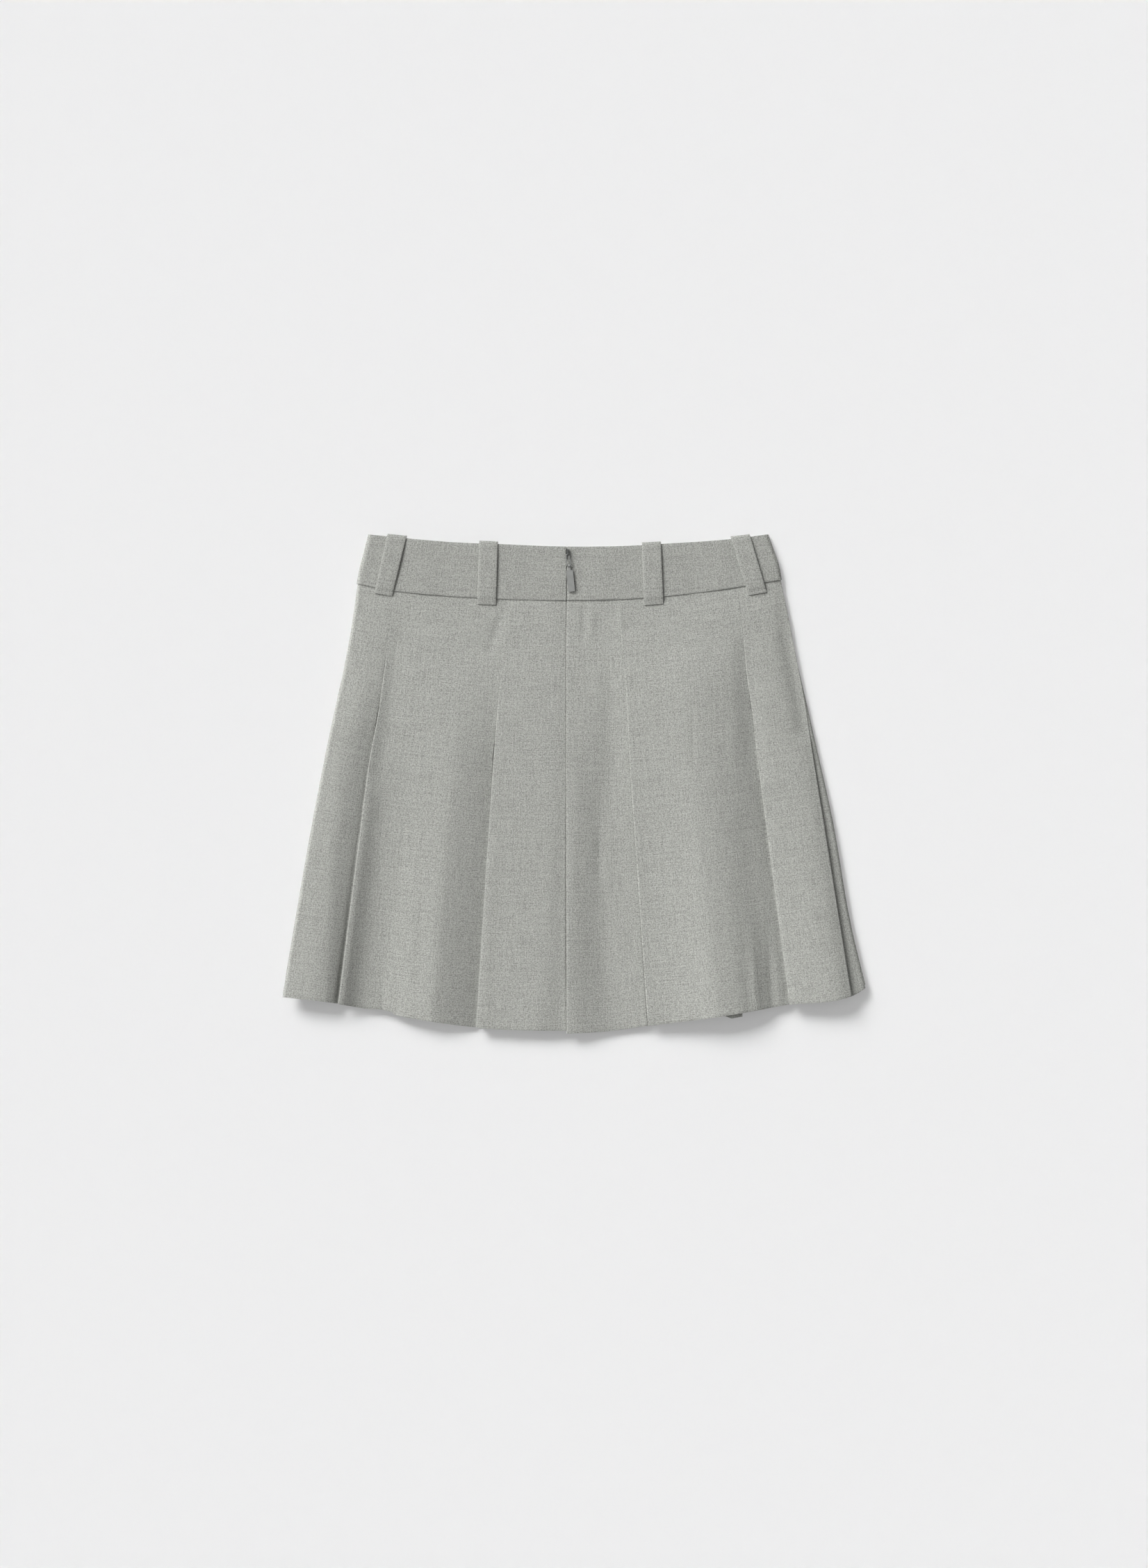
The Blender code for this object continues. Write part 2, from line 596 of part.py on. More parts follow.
def make_pull(metal, paint):
    """The link, which turns in the crown, and the tab, which turns on the link's lower bar."""
    corner = LINK_CORNER
    outline = (
        arc((LINK_TOP_HALF - corner, -corner), corner, 90, 0, 4)
        + arc((LINK_LOW_HALF - corner, -LINK_LENGTH + corner), corner, 0, -90, 4)
        + arc((corner - LINK_LOW_HALF, -LINK_LENGTH + corner), corner, -90, -180, 4)
        + arc((corner - LINK_TOP_HALF, -corner), corner, 180, 90, 4)
    )
    curve = bpy.data.curves.new("pull_link", "CURVE")
    curve.dimensions = "3D"
    curve.bevel_depth = WIRE * MM
    curve.bevel_resolution = 2
    spline = curve.splines.new("POLY")
    spline.points.add(len(outline) - 1)
    for point, (x, y) in zip(spline.points, outline):
        point.co = (x * MM, y * MM, 0, 1)
    spline.use_cyclic_u = True
    link = bpy.data.objects.new("pull_link", curve)
    curve.materials.append(metal)
    skirt.objects.link(link)
    link.location = (PIVOT_ACROSS * MM, -PIVOT_DOWN * MM, PIVOT_UP * MM)
    link.rotation_euler = (0, 0, PULL_LEAN)

    corner = PLATE_CORNER
    plate = (
        [(NECK_HALF, -NECK_START), (NECK_HALF, -PLATE_START)]
        + arc((PLATE_HALF - corner, -PLATE_START - corner), corner, 90, 0, 4)
        + arc((PLATE_HALF - corner, -PLATE_END + corner), corner, 0, -90, 4)
        + arc((corner - PLATE_HALF, -PLATE_END + corner), corner, -90, -180, 4)
        + arc((corner - PLATE_HALF, -PLATE_START - corner), corner, 180, 90, 4)
        + [(-NECK_HALF, -PLATE_START), (-NECK_HALF, -NECK_START)]
    )
    tab = outline_object("pull_tab", [plate], PLATE_THICK / 2, paint, skirt)
    tab.data.transform(Matrix.Translation((0, 0, PLATE_UP * MM)))
    rings = [arc((0, 0), BARREL, 0, 345, 16), arc((0, 0), BORE, 0, 330, 12)]
    ring = outline_object("tab_barrel", rings, BARREL_HALF, paint, operands)
    ring.parent = tab
    ring.rotation_euler = (math.pi / 2, 0, math.pi / 2)
    unite(tab, ring)
    tab.parent = link
    tab.location = (0, -LINK_LENGTH * MM, 0)
    return link


def principled(name, colour, roughness, metallic=0.0):
    material = bpy.data.materials.new(name)
    material.use_nodes = True
    shader = material.node_tree.nodes["Principled BSDF"]
    shader.inputs["Base Color"].default_value = (*colour, 1)
    shader.inputs["Roughness"].default_value = roughness
    shader.inputs["Metallic"].default_value = metallic
    return material


def centre_on_origin():
    """Moves the whole skirt so that its box stands on the origin, at its footprint's middle."""
    bpy.context.view_layer.update()
    graph = bpy.context.evaluated_depsgraph_get()
    corners = []
    for item in skirt.objects:
        if item.type in {"MESH", "CURVE"}:
            shown = item.evaluated_get(graph)
            mesh = shown.to_mesh()
            local = np.array([vertex.co[:] for vertex in mesh.vertices])
            matrix = np.array(item.matrix_world)
            world = local @ matrix[:3, :3].T + matrix[:3, 3]
            corners += [world.min(axis=0), world.max(axis=0)]
            shown.to_mesh_clear()
    low, high = np.min(corners, axis=0), np.max(corners, axis=0)
    offset = -np.array([(low[0] + high[0]) / 2, (low[1] + high[1]) / 2, low[2]])
    for item in list(skirt.objects) + list(operands.objects):
        if item.parent is None:
            item.location = np.array(item.location) + offset
    print("size, mm:", np.round((high - low) / MM, 2))
    return offset


for leftover in list(bpy.data.objects):
    bpy.data.objects.remove(leftover, do_unlink=True)

skirt = bpy.data.collections.new("Micro mini skirt")
operands = bpy.data.collections.new("Joined shapes")
bpy.context.scene.collection.children.link(skirt)
bpy.context.scene.collection.children.link(operands)

cloth_material = principled("Grey melange cloth", CLOTH_COLOUR, 0.95)
tape_material = principled("Grey zip tape", TAPE_COLOUR, 0.9)
metal_material = principled("Slider metal", METAL_COLOUR, 0.4, 0.6)
paint_material = principled("Painted pull", PAINT_COLOUR, 0.45)

make_back(cloth_material)
make_front(cloth_material)
make_waistband(cloth_material)
make_loops(cloth_material)
make_zip_tapes(tape_material)
make_slider(metal_material)
pull = make_pull(metal_material, paint_material)
origin = centre_on_origin()
bpy.context.view_layer.update()
print("link pivot, m:", np.round(pull.matrix_world.translation, 6))
print("tab pivot, m:", np.round(pull.children[0].matrix_world.translation, 6))
print("offset, m:", np.round(origin, 6))
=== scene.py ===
# %% [markdown]
# # A pleated micro mini skirt, laid flat with its back up
#
# The skirt is a flattened tube of grey melange cloth: a front that lies on the table, a back that
# lies on the front, a shaped waistband round both, four belt loops and a concealed zip. The packed
# solids give its places and sizes. This script dresses them: thin cloth with its folds and soft
# creases, a woven finish, the zip's teeth, and a photographer's table and lamps.

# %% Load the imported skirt
import math

import bpy
import numpy as np
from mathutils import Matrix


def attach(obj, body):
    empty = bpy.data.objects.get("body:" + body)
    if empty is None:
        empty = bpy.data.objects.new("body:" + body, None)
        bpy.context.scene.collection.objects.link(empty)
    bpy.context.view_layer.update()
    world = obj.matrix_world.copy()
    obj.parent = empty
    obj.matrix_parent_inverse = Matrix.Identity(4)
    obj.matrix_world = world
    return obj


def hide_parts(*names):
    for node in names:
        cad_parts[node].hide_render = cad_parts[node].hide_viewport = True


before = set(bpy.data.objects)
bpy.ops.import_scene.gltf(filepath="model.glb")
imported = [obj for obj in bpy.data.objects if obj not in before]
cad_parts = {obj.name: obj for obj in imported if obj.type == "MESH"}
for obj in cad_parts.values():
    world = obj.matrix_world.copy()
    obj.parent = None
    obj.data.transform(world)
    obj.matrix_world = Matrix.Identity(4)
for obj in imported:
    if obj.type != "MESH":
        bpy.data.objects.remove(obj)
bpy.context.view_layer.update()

# %% [markdown]
# ## Camera
#
# The skirt was photographed from straight above. A long lens keeps its edges free of perspective.
# The picture is 1652 x 2257 and the skirt takes up only its middle, so the frame is much wider
# than the garment.

# %% A camera straight above
MM = 0.001
CAMERA_HEIGHT = 3.0
SENSOR = 36.0
FRAME_HEIGHT = 1.2978
FRAME_CENTRE = (-0.00017, -0.00036)



def add_object(name, data):
    """A new object in the scene."""
    item = bpy.data.objects.new(name, data)
    bpy.context.scene.collection.objects.link(item)
    return item


camera_data = bpy.data.cameras.new("Camera above")
camera_data.sensor_fit = "VERTICAL"
camera_data.sensor_height = SENSOR
camera_data.lens = SENSOR * CAMERA_HEIGHT / FRAME_HEIGHT
camera = add_object("Camera above", camera_data)
camera.location = (*FRAME_CENTRE, CAMERA_HEIGHT)
bpy.context.scene.camera = camera
print("lens, mm:", round(camera_data.lens, 1))

# %% [markdown]
# ## Sizes in tables
#
# A dressmaker describes a skirt by its edges. Each table below gives where an edge runs, in
# millimetres across from the centre back seam and down from the waistband's top there. "part" is
# the way from waist seam (0) to hem (1). Between the rows a smooth curve is drawn.

# %% Tables of the skirt's edges
ORIGIN_ACROSS = 6.497
ORIGIN_DOWN = 195.717


def table(columns, *rows):
    """A short table with named columns."""
    return dict(zip(columns.split(), np.array(rows, dtype=float).T))


DOWN = table(
    "part left edge_1 edge_2 centre edge_4 edge_5 edge_6 right",
    (0.0, -172.6, -142.0, -49.5, 0.5, 42.0, 142.6, 177.1, 176.3),
    (0.1, -177.4, -146.4, -52.3, 0.1, 45.4, 145.6, 184.2, 183.6),
    (0.2, -183.5, -150.7, -55.2, 0.0, 48.7, 148.6, 190.8, 190.7),
    (0.3, -190.9, -155.5, -58.1, 0.0, 50.8, 153.4, 197.4, 198.5),
    (0.4, -198.1, -161.8, -60.8, 0.0, 52.8, 157.3, 202.5, 206.2),
    (0.6, -211.2, -170.8, -65.4, 0.0, 57.6, 166.1, 213.5, 221.2),
    (0.8, -223.0, -179.5, -69.9, 0.2, 62.4, 175.0, 224.4, 232.6),
    (1.0, -234.0, -188.1, -74.5, 0.4, 67.3, 184.0, 235.2, 247.0),
)
DEPTH = table(
    "part fold_1 fold_2 fold_3 fold_4 fold_5 fold_6",
    (0.0, 80.0, 32.0, 24.0, 84.0, 14.0, 12.0),
    (0.4, 82.0, 44.0, 24.0, 80.0, 17.0, 13.0),
    (1.0, 84.0, 50.0, 32.0, 77.7, 24.0, 18.0),
)
BAND_TOP = table(
    "across down",
    (-166, -10.4), (-129, -6.6), (-95, -3.7), (-53, -2.0), (0, 0.0),
    (57, -0.9), (85, -2.6), (112, -4.3), (133, -6.0), (168, -10.4),
)
WAIST = table(
    "across down",
    (-174, 30.6), (-148, 35.9), (-124, 38.8), (-55, 43.4),
    (0, 44.6), (63, 42.8), (145, 33.1), (179, 27.1),
)
HEM_LEFT = table(
    "across down",
    (-234, 371.7), (-195, 376.3), (-161, 382.8), (-128, 389.4),
    (-106, 393.0), (-74, 397.3), (0, 399.9), (40, 400.4),
)
HEM_RIGHT = table(
    "across down",
    (0, 402.2), (35, 400.4), (67, 396.0), (85, 393.6), (118, 389.1),
    (148, 384.4), (184, 378.3), (228, 373.2), (240, 369.2), (247, 364.5),
)
BAND_SIDES = table(
    "part left right",
    (0.0, -163.8, 167.0), (0.3, -167.0, 171.0), (0.7, -171.2, 176.0), (1.0, -173.4, 178.2),
)
LOOPS = table(
    "top_across top_down foot_across foot_down top_width foot_width",
    (-139.6, -9.6, -151.1, 39.9, 15.8, 14.6),
    (-64.2, -4.6, -65.8, 48.1, 15.4, 15.5),
    (70.2, -4.9, 72.1, 48.2, 15.7, 16.2),
    (143.4, -9.2, 158.0, 39.2, 15.8, 15.2),
)


def cubic(at, xs, ys, slopes):
    """Cubic curve through points with a slope at each: the Hermite blend of the two at its ends."""
    i = np.clip(np.searchsorted(xs, at) - 1, 0, len(xs) - 2)
    step = xs[i + 1] - xs[i]
    t = (at - xs[i]) / step
    start = (1 + 2 * t) * (1 - t) ** 2 * ys[i] + t * (1 - t) ** 2 * step * slopes[i]
    return start + t * t * (3 - 2 * t) * ys[i + 1] + t * t * (t - 1) * step * slopes[i + 1]


def smooth(at, xs, ys):
    """Cubic curve through a table's points, each point's slope taken from its neighbours."""
    return cubic(at, xs, ys, np.gradient(ys, xs))


def edge_curve(points):
    """A function that gives how far down an edge runs at each place across."""
    return lambda across: smooth(across, points["across"], points["down"])


def down_skirt(column, parts):
    """How far across an edge runs, or how deep a pleat is, at parts of the way down."""
    source = DOWN if column in DOWN else DEPTH
    return smooth(np.clip(parts, 0, 1), source["part"], source[column])


def soft_step(t):
    """An S from 0 to 1 that is level at both ends: 3t2 - 2t3."""
    t = np.clip(t, 0, 1)
    return t * t * (3 - 2 * t)


print("tables:", len(DOWN["part"]), "rows down the skirt,", len(LOOPS["top_across"]), "belt loops")

# %% [markdown]
# ## How high the cloth lies
#
# A knife pleat stacks three layers. On the real skirt the pleats are sewn down for the first
# 80 mm and spring open below, so the hem stands in soft waves. Simulating pressed pleats would
# lose their crisp edges. Height fields given as tables do it instead: waves along the hem that
# fade upwards along the pleats, a swell over the hips, and a short list of single creases.

# %% Heights of the layers
CLOTH = 0.6
LAYER_SEAM = 1.1
LAYER_HEM = 2.2
LAYER_FRONT = 0.85
# The lowest layer of the back, and how much lower than the waistband's middle the skirt's is
GROUND = 3.4
WAIST_STEP = 0.15


def layer_height(parts):
    """From one layer of a back pleat to the next, wider at the hem where the pleats spring open."""
    return LAYER_SEAM + (LAYER_HEM - LAYER_SEAM) * np.clip(parts, 0, 1)


# Waves that lift every layer of the back, and those of the upper layers alone
WAVES = table(
    "across lift",
    (-234, 5.4), (-224, 5.8), (-214, 6.1), (-208, 6.0), (-201, 5.3), (-195, 4.7), (-189, 3.9),
    (-185, 3.3), (-179, 1.2), (-173, -0.8), (-167, -1.7), (-159, -2.0), (-151, -1.6), (-145, -0.8),
    (-138, -0.1), (-128, 1.2), (-118, 2.7), (-111, 3.2), (-103, 2.5), (-88, 0.6), (-76, -0.6),
    (-66, 0.2), (-43, 0.6), (-14, 0.9), (2, 0.9), (20, 0.3), (36, -0.3), (50, -0.1), (66, 0.3),
    (88, 2.2), (108, 5.4), (127, 8.6), (141, 7.8), (156, 4.8), (169, 2.4), (184, 1.8), (200, 3.2),
    (220, 5.0), (234, 5.0), (240, 4.3), (247, 3.6),
)
TOP_WAVES = table(
    "across lift",
    (-234, -0.7), (-220, -0.2), (-206, 0.0), (-196, 0.0), (-189, 1.6), (-185, 1.6), (-179, 0.7),
    (-173, 0.0), (-164, -0.5), (-150, -0.5), (-130, 0.0), (-78, 0.0), (-74, 1.0), (-60, 0.2),
    (-10, 0.4), (4, 0.6), (40, 0.0), (62, 0.0), (67, 0.4), (80, 0.0), (182, 0.0), (188, 1.2),
    (205, 1.7), (222, 1.5), (236, 1.2),
)
WAVE_RISE = table("part share", (0, 0), (0.1, 0.04), (0.25, 0.18), (0.5, 0.45), (0.75, 0.75), (1, 1))
# The swell over the hips, in the same way
HIPS = table(
    "across lift",
    (-234, 0.0), (-214, 1.2), (-192, 1.6), (-184, 1.2), (-150, 2.0), (-40, 2.6), (0, 2.4), (30, 2.2),
    (60, 3.0), (130, 4.4), (160, 3.8), (188, 2.0), (215, 0.3), (236, -0.4), (247, 0.0),
)
HIP_RISE = table("part share", (0, 0), (0.1, 0.5), (0.22, 1), (0.4, 0.8), (0.7, 0.2), (1, 0))


def soft_table(at, xs, ys):
    """Cubic curve through a table, level at its crests and troughs, so it never overshoots them."""
    rise = np.diff(ys) / np.diff(xs)
    same = rise[1:] * rise[:-1] > 0
    with np.errstate(divide="ignore", invalid="ignore"):
        inner = np.where(same, 2 / (1 / rise[1:] + 1 / rise[:-1]), 0)
    return cubic(np.clip(at, xs[0], xs[-1]), xs, ys, np.concatenate([[rise[0]], inner, [rise[-1]]]))


def across_lift(x, lifts):
    """The lift at each place across, from a table of across and lift."""
    return soft_table(x, lifts["across"], lifts["lift"])


def rise_down(parts, rises):
    """The share of a lift at each row, from a table of part and share."""
    return soft_table(parts, rises["part"], rises["share"])


def down_table(parts, *rows):
    """A value that changes from waist seam to hem, through part, value pairs."""
    at, value = np.array(rows, dtype=float).T
    return soft_table(parts, at, value)


PLEAT_MARKS = ("left", "edge_1", "edge_2", "centre", "edge_4", "edge_5", "right")


def at_hem(x, parts):
    """Where a place would be if it followed its pleat down to the hem."""
    marks = np.array([down_skirt(name, parts) for name in PLEAT_MARKS]).T
    hem = np.array([DOWN[name][-1] for name in PLEAT_MARKS])
    return np.array([np.interp(row, mark, hem) for row, mark in zip(x, marks)])


# %% [markdown]
# A crease is a path with a soft bell across it: height times e to the minus of the squared
# distance over its width. It fades in and out along its path.

# %% Single creases: how wide and how high, then its path as across, down pairs
CREASES = [
    (7.0, 0.4, [(-120.8, 205), (-125.4, 265.9), (-134.3, 430)]),
    (2.6, -0.5, [(-152.4, 335), (-151.5, 430)]),
    (3.0, -0.3, [(27.0, 210), (27.0, 285)]),
    (4.5, 0.35, [(36.2, 215), (35.0, 285)]),
    (7.0, 0.5, [(24.3, 60), (26.5, 200)]),
    (1.5, -0.25, [(103.5, 115), (105.2, 194)]),
    (4.2, 0.9, [(151.2, 300), (160.5, 430)]),
    (3.8, -1.0, [(165.2, 300), (173.4, 430)]),
    (4.0, -0.6, [(-48.9, 44), (-56, 64), (-65.0, 92)]),
    (2.6, -0.35, [(15.5, 38), (13.2, 84)]),
    (3.2, 0.3, [(23.6, 38), (20.1, 84)]),
    (3.0, 0.3, [(44.0, 38), (46.0, 88)]),
]
TOP_CREASES = [
    (8.0, -2.4, [(176, 30), (184.5, 82), (192, 122), (199, 165)]),
    (9.0, -1.0, [(-135.5, 45), (-143.0, 90), (-151.0, 150), (-160, 200)]),
    (9.0, -1.4, [(145.5, 45), (148.5, 90), (153.0, 150), (158, 200)]),
]
CREASE_IN, CREASE_OUT = 0.45, 14.0


def creases(x, down, which):
    """The heights of all the creases in a list, added up."""
    total = np.zeros_like(x)
    for width, height, path in which:
        across, along = np.array(path, dtype=float).T
        centre = np.interp(down, along, across)
        fade = soft_step((down - along[0]) / (CREASE_IN * (along[-1] - along[0])))
        fade *= soft_step((along[-1] - down) / CREASE_OUT)
        total += height * np.exp(-(((x - centre) / width) ** 2)) * fade
    return total


BAND_SIDE_UP = 5.2
BAND_CROWN = 1.4
BAND_HALF = 175.0
# The part of the skirt's length over which the waistband holds the layers together
BAND_PULL = 0.10


def band_up(across):
    """Middle of the back waistband, which crowns over the zip."""
    return BAND_SIDE_UP + BAND_CROWN * (1 - (across / BAND_HALF) ** 2)


def back_lift(x, up, down, parts):
    """What the hips, the waves, the creases and the waistband's pull add to the back's layers."""
    rise = rise_down(parts, WAVE_RISE)[:, None]
    hem_x = at_hem(x, parts)
    lift = rise * across_lift(hem_x, WAVES) + creases(x, down, CREASES)
    lift += rise_down(parts, HIP_RISE)[:, None] * across_lift(hem_x, HIPS)
    top_lift = rise * across_lift(hem_x, TOP_WAVES) + creases(x, down, TOP_CREASES)
    spread = 2 * layer_height(parts)[:, None]
    upper_share = np.clip((up - GROUND) / spread, 0, 1)
    pull = 1 - soft_step(parts / BAND_PULL)[:, None]
    return lift + upper_share * top_lift + pull * (band_up(x) - WAIST_STEP - GROUND - spread)


print("waves up to", WAVES["lift"].max(), "mm and", len(CREASES) + len(TOP_CREASES), "creases")

# %% [markdown]
# ## Cloth as a surface
#
# A pleated piece could be cut from flat panels and folded by a simulation. Here each row of the
# grid is a section across the skirt, drawn as a path that runs along a panel, dives under the next
# fold, turns back twice and goes on, which is just how the cloth runs. Every stretch of the path
# is a whole array: rows down the skirt, points along the section, and four values at each point:
# across, up, how much shorter the hem is there, and which panel it belongs to.

# %% Stretches of a section
TURN_POINTS = 8
MIDDLE_POINTS = 8
FOLD_RADIUS = 0.32
# A panel's own grid starts a little past the turn of its fold edge
PAST_FOLD = 1.6


def stretch(x_from, x_to, up_from, up_to, count, lift=0.0, panel=(0, 0)):
    """Evenly from one place to another. The height follows an S between its two ends."""
    part = np.linspace(0, 1, count)
    x = np.outer(x_from, 1 - part) + np.outer(x_to, part)
    up = np.outer(up_from, 1 - soft_step(part)) + np.outer(up_to, soft_step(part))
    number = panel[0] + (panel[1] - panel[0]) * part + 0 * x
    return np.dstack([x, up, lift + 0 * x, number])


def steeper(t):
    """From 0 to 1, level at first and steeper and steeper to the end: t to the power of 1.8."""
    return np.clip(t, 0, 1) ** 1.8


def open_panel(x_from, x_to, high, drop, ramp, count, panel, shape=steeper, rise=0.0):
    """The outer face of a panel: level, then down by the drop over a ramp, in the shape given.

    The ramp's two ends are given as distances before the panel's last point. After the ramp the
    face rises again by a share of the drop, as an S.
    """
    x = np.outer(x_from, 1 - np.linspace(0, 1, count)) + np.outer(x_to, np.linspace(0, 1, count))
    begin, end = (x_to - ramp[0])[:, None], (x_to - ramp[1])[:, None]
    up = high[:, None] - drop[:, None] * shape((x - begin) / (end - begin))
    up += (rise * drop)[:, None] * soft_step((x - end) / (x_to[:, None] - end + 1e-6))
    return np.dstack([x, up, 0 * x, panel + 0 * x])


def fold(first, second, up_from, up_to, lifts, panel):
    """The two turns of a pleat: round at first, back, round at second.

    Each turn is an arc with the radius of a pressed fold, or a quarter of the height between the
    outer layers where that is less. The angle of the stretch between them is that of the line
    that touches both arcs.
    """
    sign = np.sign(up_to - up_from)
    radius = np.minimum(np.abs(up_to - up_from) / 4, FOLD_RADIUS)
    x_1, x_2 = first - radius, second + radius
    across, high = x_2 - x_1, np.abs(up_to - up_from) - 2 * radius
    angle = np.arctan2(high, across)
    angle += np.arcsin(np.clip(2 * radius / np.hypot(across, high), -1, 1))
    turn = np.outer(angle, np.linspace(0, 1, TURN_POINTS))
    back = turn[:, ::-1]
    r, s = radius[:, None], sign[:, None]
    x = [x_1[:, None] + r * np.sin(turn), x_2[:, None] - r * np.sin(back)]
    up = [up_from[:, None] + s * r * (1 - np.cos(turn)), up_to[:, None] - s * r * (1 - np.cos(back))]
    inner = np.linspace(0, 1, MIDDLE_POINTS + 2)[1:-1]
    x.insert(1, np.outer(x[0][:, -1], 1 - inner) + np.outer(x[1][:, 0], inner))
    up.insert(1, np.outer(up[0][:, -1], 1 - inner) + np.outer(up[1][:, 0], inner))
    x, up = np.concatenate(x, axis=1), np.concatenate(up, axis=1)
    part = np.linspace(0, 1, x.shape[1])
    lift = lifts[0] + (lifts[1] - lifts[0]) * part + 0 * x
    return np.dstack([x, up, lift, panel[0] + (panel[1] - panel[0]) * part + 0 * x])


SIDE_WIDE = 2.6
SIDE_POINTS = 12


def side(edge, inward, up_edge, up_level, panel):
    """A rounded side: a quarter of an ellipse from its seam up or down to the level layer."""
    angle = np.linspace(0, math.pi / 2, SIDE_POINTS)
    x = edge[:, None] + inward * (CLOTH / 2 + SIDE_WIDE * (1 - np.cos(angle)))
    up = np.outer(up_edge, 1 - np.sin(angle)) + np.outer(up_level, np.sin(angle))
    return np.dstack([x, up, 0 * x, panel + 0 * x])


SEWN_GAP, OPEN_GAP = -0.45, 1.2


def dive_gap(drop, full):
    """How far before the next edge a panel starts to dive: none where it is sewn to that edge."""
    return SEWN_GAP + (OPEN_GAP - SEWN_GAP) * soft_step(1.7 * drop / full - 0.3)


# The hidden layers' hem is shorter. Where the dive ends and the hidden layer starts past the edge
HIDDEN_HEM = 2.0
DIVE_END, UNDER_START = 0.65, 1.3


def pleat(edge, depth, ground, high, drop, gap, panel):
    """Under the next panel's fold edge and back to it: the dive, the hidden layer and two turns."""
    dive = stretch(edge - gap, edge + DIVE_END, high - drop, ground, 9, 0, (panel, panel + 0.1))
    dive[:, -3:, 2] = HIDDEN_HEM
    return [
        dive[:, 1:-1],
        stretch(edge + UNDER_START, edge + 0.8 * depth, ground, ground, 10, HIDDEN_HEM,
                (panel + 0.1, panel + 0.4)),
        fold(edge + depth, edge + CLOTH / 2, ground, high, (HIDDEN_HEM, 0), (panel + 0.45, panel + 1)),
    ]


# %% [markdown]
# The grid becomes a mesh: points from arrays, faces from an index grid, and a UV map in metres
# along the threads. Each panel counts its threads from its own middle line, as it was cut, so the
# weave leans with the panel and doesn't fan out across the whole skirt.

# %% From a grid to a finished piece of cloth
RIM = 0.18


def thread_map(points, number):
    """Metres along the weft and the warp. Each whole panel is measured from its middle column."""
    step = np.linalg.norm(np.diff(points, axis=1), axis=2)
    along = np.concatenate([np.zeros((len(points), 1)), np.cumsum(step, axis=1)], axis=1)
    index = number[len(number) // 2]
    names = np.unique(np.round(index[np.isclose(index, np.round(index))]))
    middles = [int(np.median(np.nonzero(np.isclose(index, name))[0])) for name in names]
    starts = np.array([along[:, middle] - along[0, middle] for middle in middles]).T
    low = np.clip(np.floor(index - names[0] + 1e-6).astype(int), 0, len(names) - 1)
    high = np.clip(low + 1, 0, len(names) - 1)
    share = np.clip(index - names[0] - low, 0, 1)
    weft = along - starts[:, low] * (1 - share) - starts[:, high] * share
    drop = np.linalg.norm(np.diff(points, axis=0), axis=2)
    warp = np.concatenate([np.zeros((1, points.shape[1])), np.cumsum(drop, axis=0)], axis=0)
    middle = warp.mean(axis=1)[:, None]
    return np.dstack([weft, 0.5 * warp + 0.5 * middle])


def cloth_piece(name, points, number, wall, nodes, rim=RIM):
    """A walled, round-edged mesh from a grid of points in millimetres, in the frame's place."""
    rows, columns = points.shape[:2]
    threads = thread_map(points * MM, number)
    place = points * MM
    place[..., 0] -= ORIGIN_ACROSS * MM
    place[..., 1] += ORIGIN_DOWN * MM
    index = np.arange(rows * columns).reshape(rows, columns)
    quads = np.dstack([index[:-1, :-1], index[1:, :-1], index[1:, 1:], index[:-1, 1:]]).reshape(-1, 4)
    mesh = bpy.data.meshes.new(name)
    mesh.from_pydata(place.reshape(-1, 3).tolist(), [], quads.tolist())
    corner = np.empty(len(mesh.loops), dtype=np.int32)
    mesh.loops.foreach_get("vertex_index", corner)
    mesh.uv_layers.new(name="Threads")
    mesh.uv_layers["Threads"].data.foreach_set("uv", threads.reshape(-1, 2)[corner].ravel())
    mesh.shade_smooth()
    item = add_object(name, mesh)
    solid = item.modifiers.new("Wall", "SOLIDIFY")
    solid.thickness = wall * MM
    solid.offset = 0
    soften = item.modifiers.new("Soft rim", "BEVEL")
    soften.width = rim * MM
    soften.segments = 2
    soften.limit_method = "ANGLE"
    soften.angle_limit = math.radians(50)
    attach(item, "skirt")
    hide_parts(*nodes)
    print(name, len(quads), "faces before its wall")
    return item


def panel_piece(name, section, parts, upper, lower, lift, nodes):
    """A skirt piece from its sections, between its upper and its lower edge."""
    x, up, shorter, number = (section[..., i] for i in range(4))
    top = upper(x) + np.maximum(shorter, 0) / 2 * (parts[:, None] >= 0)
    down = top + parts[:, None] * (lower(x) - shorter - top)
    points = np.dstack([x, -down, up + lift(x, up, down, parts)])
    return cloth_piece(name, points, number, CLOTH, nodes)


# %% [markdown]
# ## The back, left of the zip
#
# Three panels with two knife pleats between them. Sewn down at the top, each panel runs level up
# to the next fold edge and only a groove shows. Further down it sinks under the next edge, more
# and more, over a ramp that widens towards the hem. At centre back the edge is turned under for
# the zip, and below the zip it runs on under the centre pleat.

# %% Back left
BACK_ROWS = 130
TOP_TUCKED = -0.0075
ZIP_END = 0.40
PLEAT_START = 0.46
SEAM_UP = 2.0
LEFT_SEAM_RISE = 3.6
OPENING_HALF = 0.16


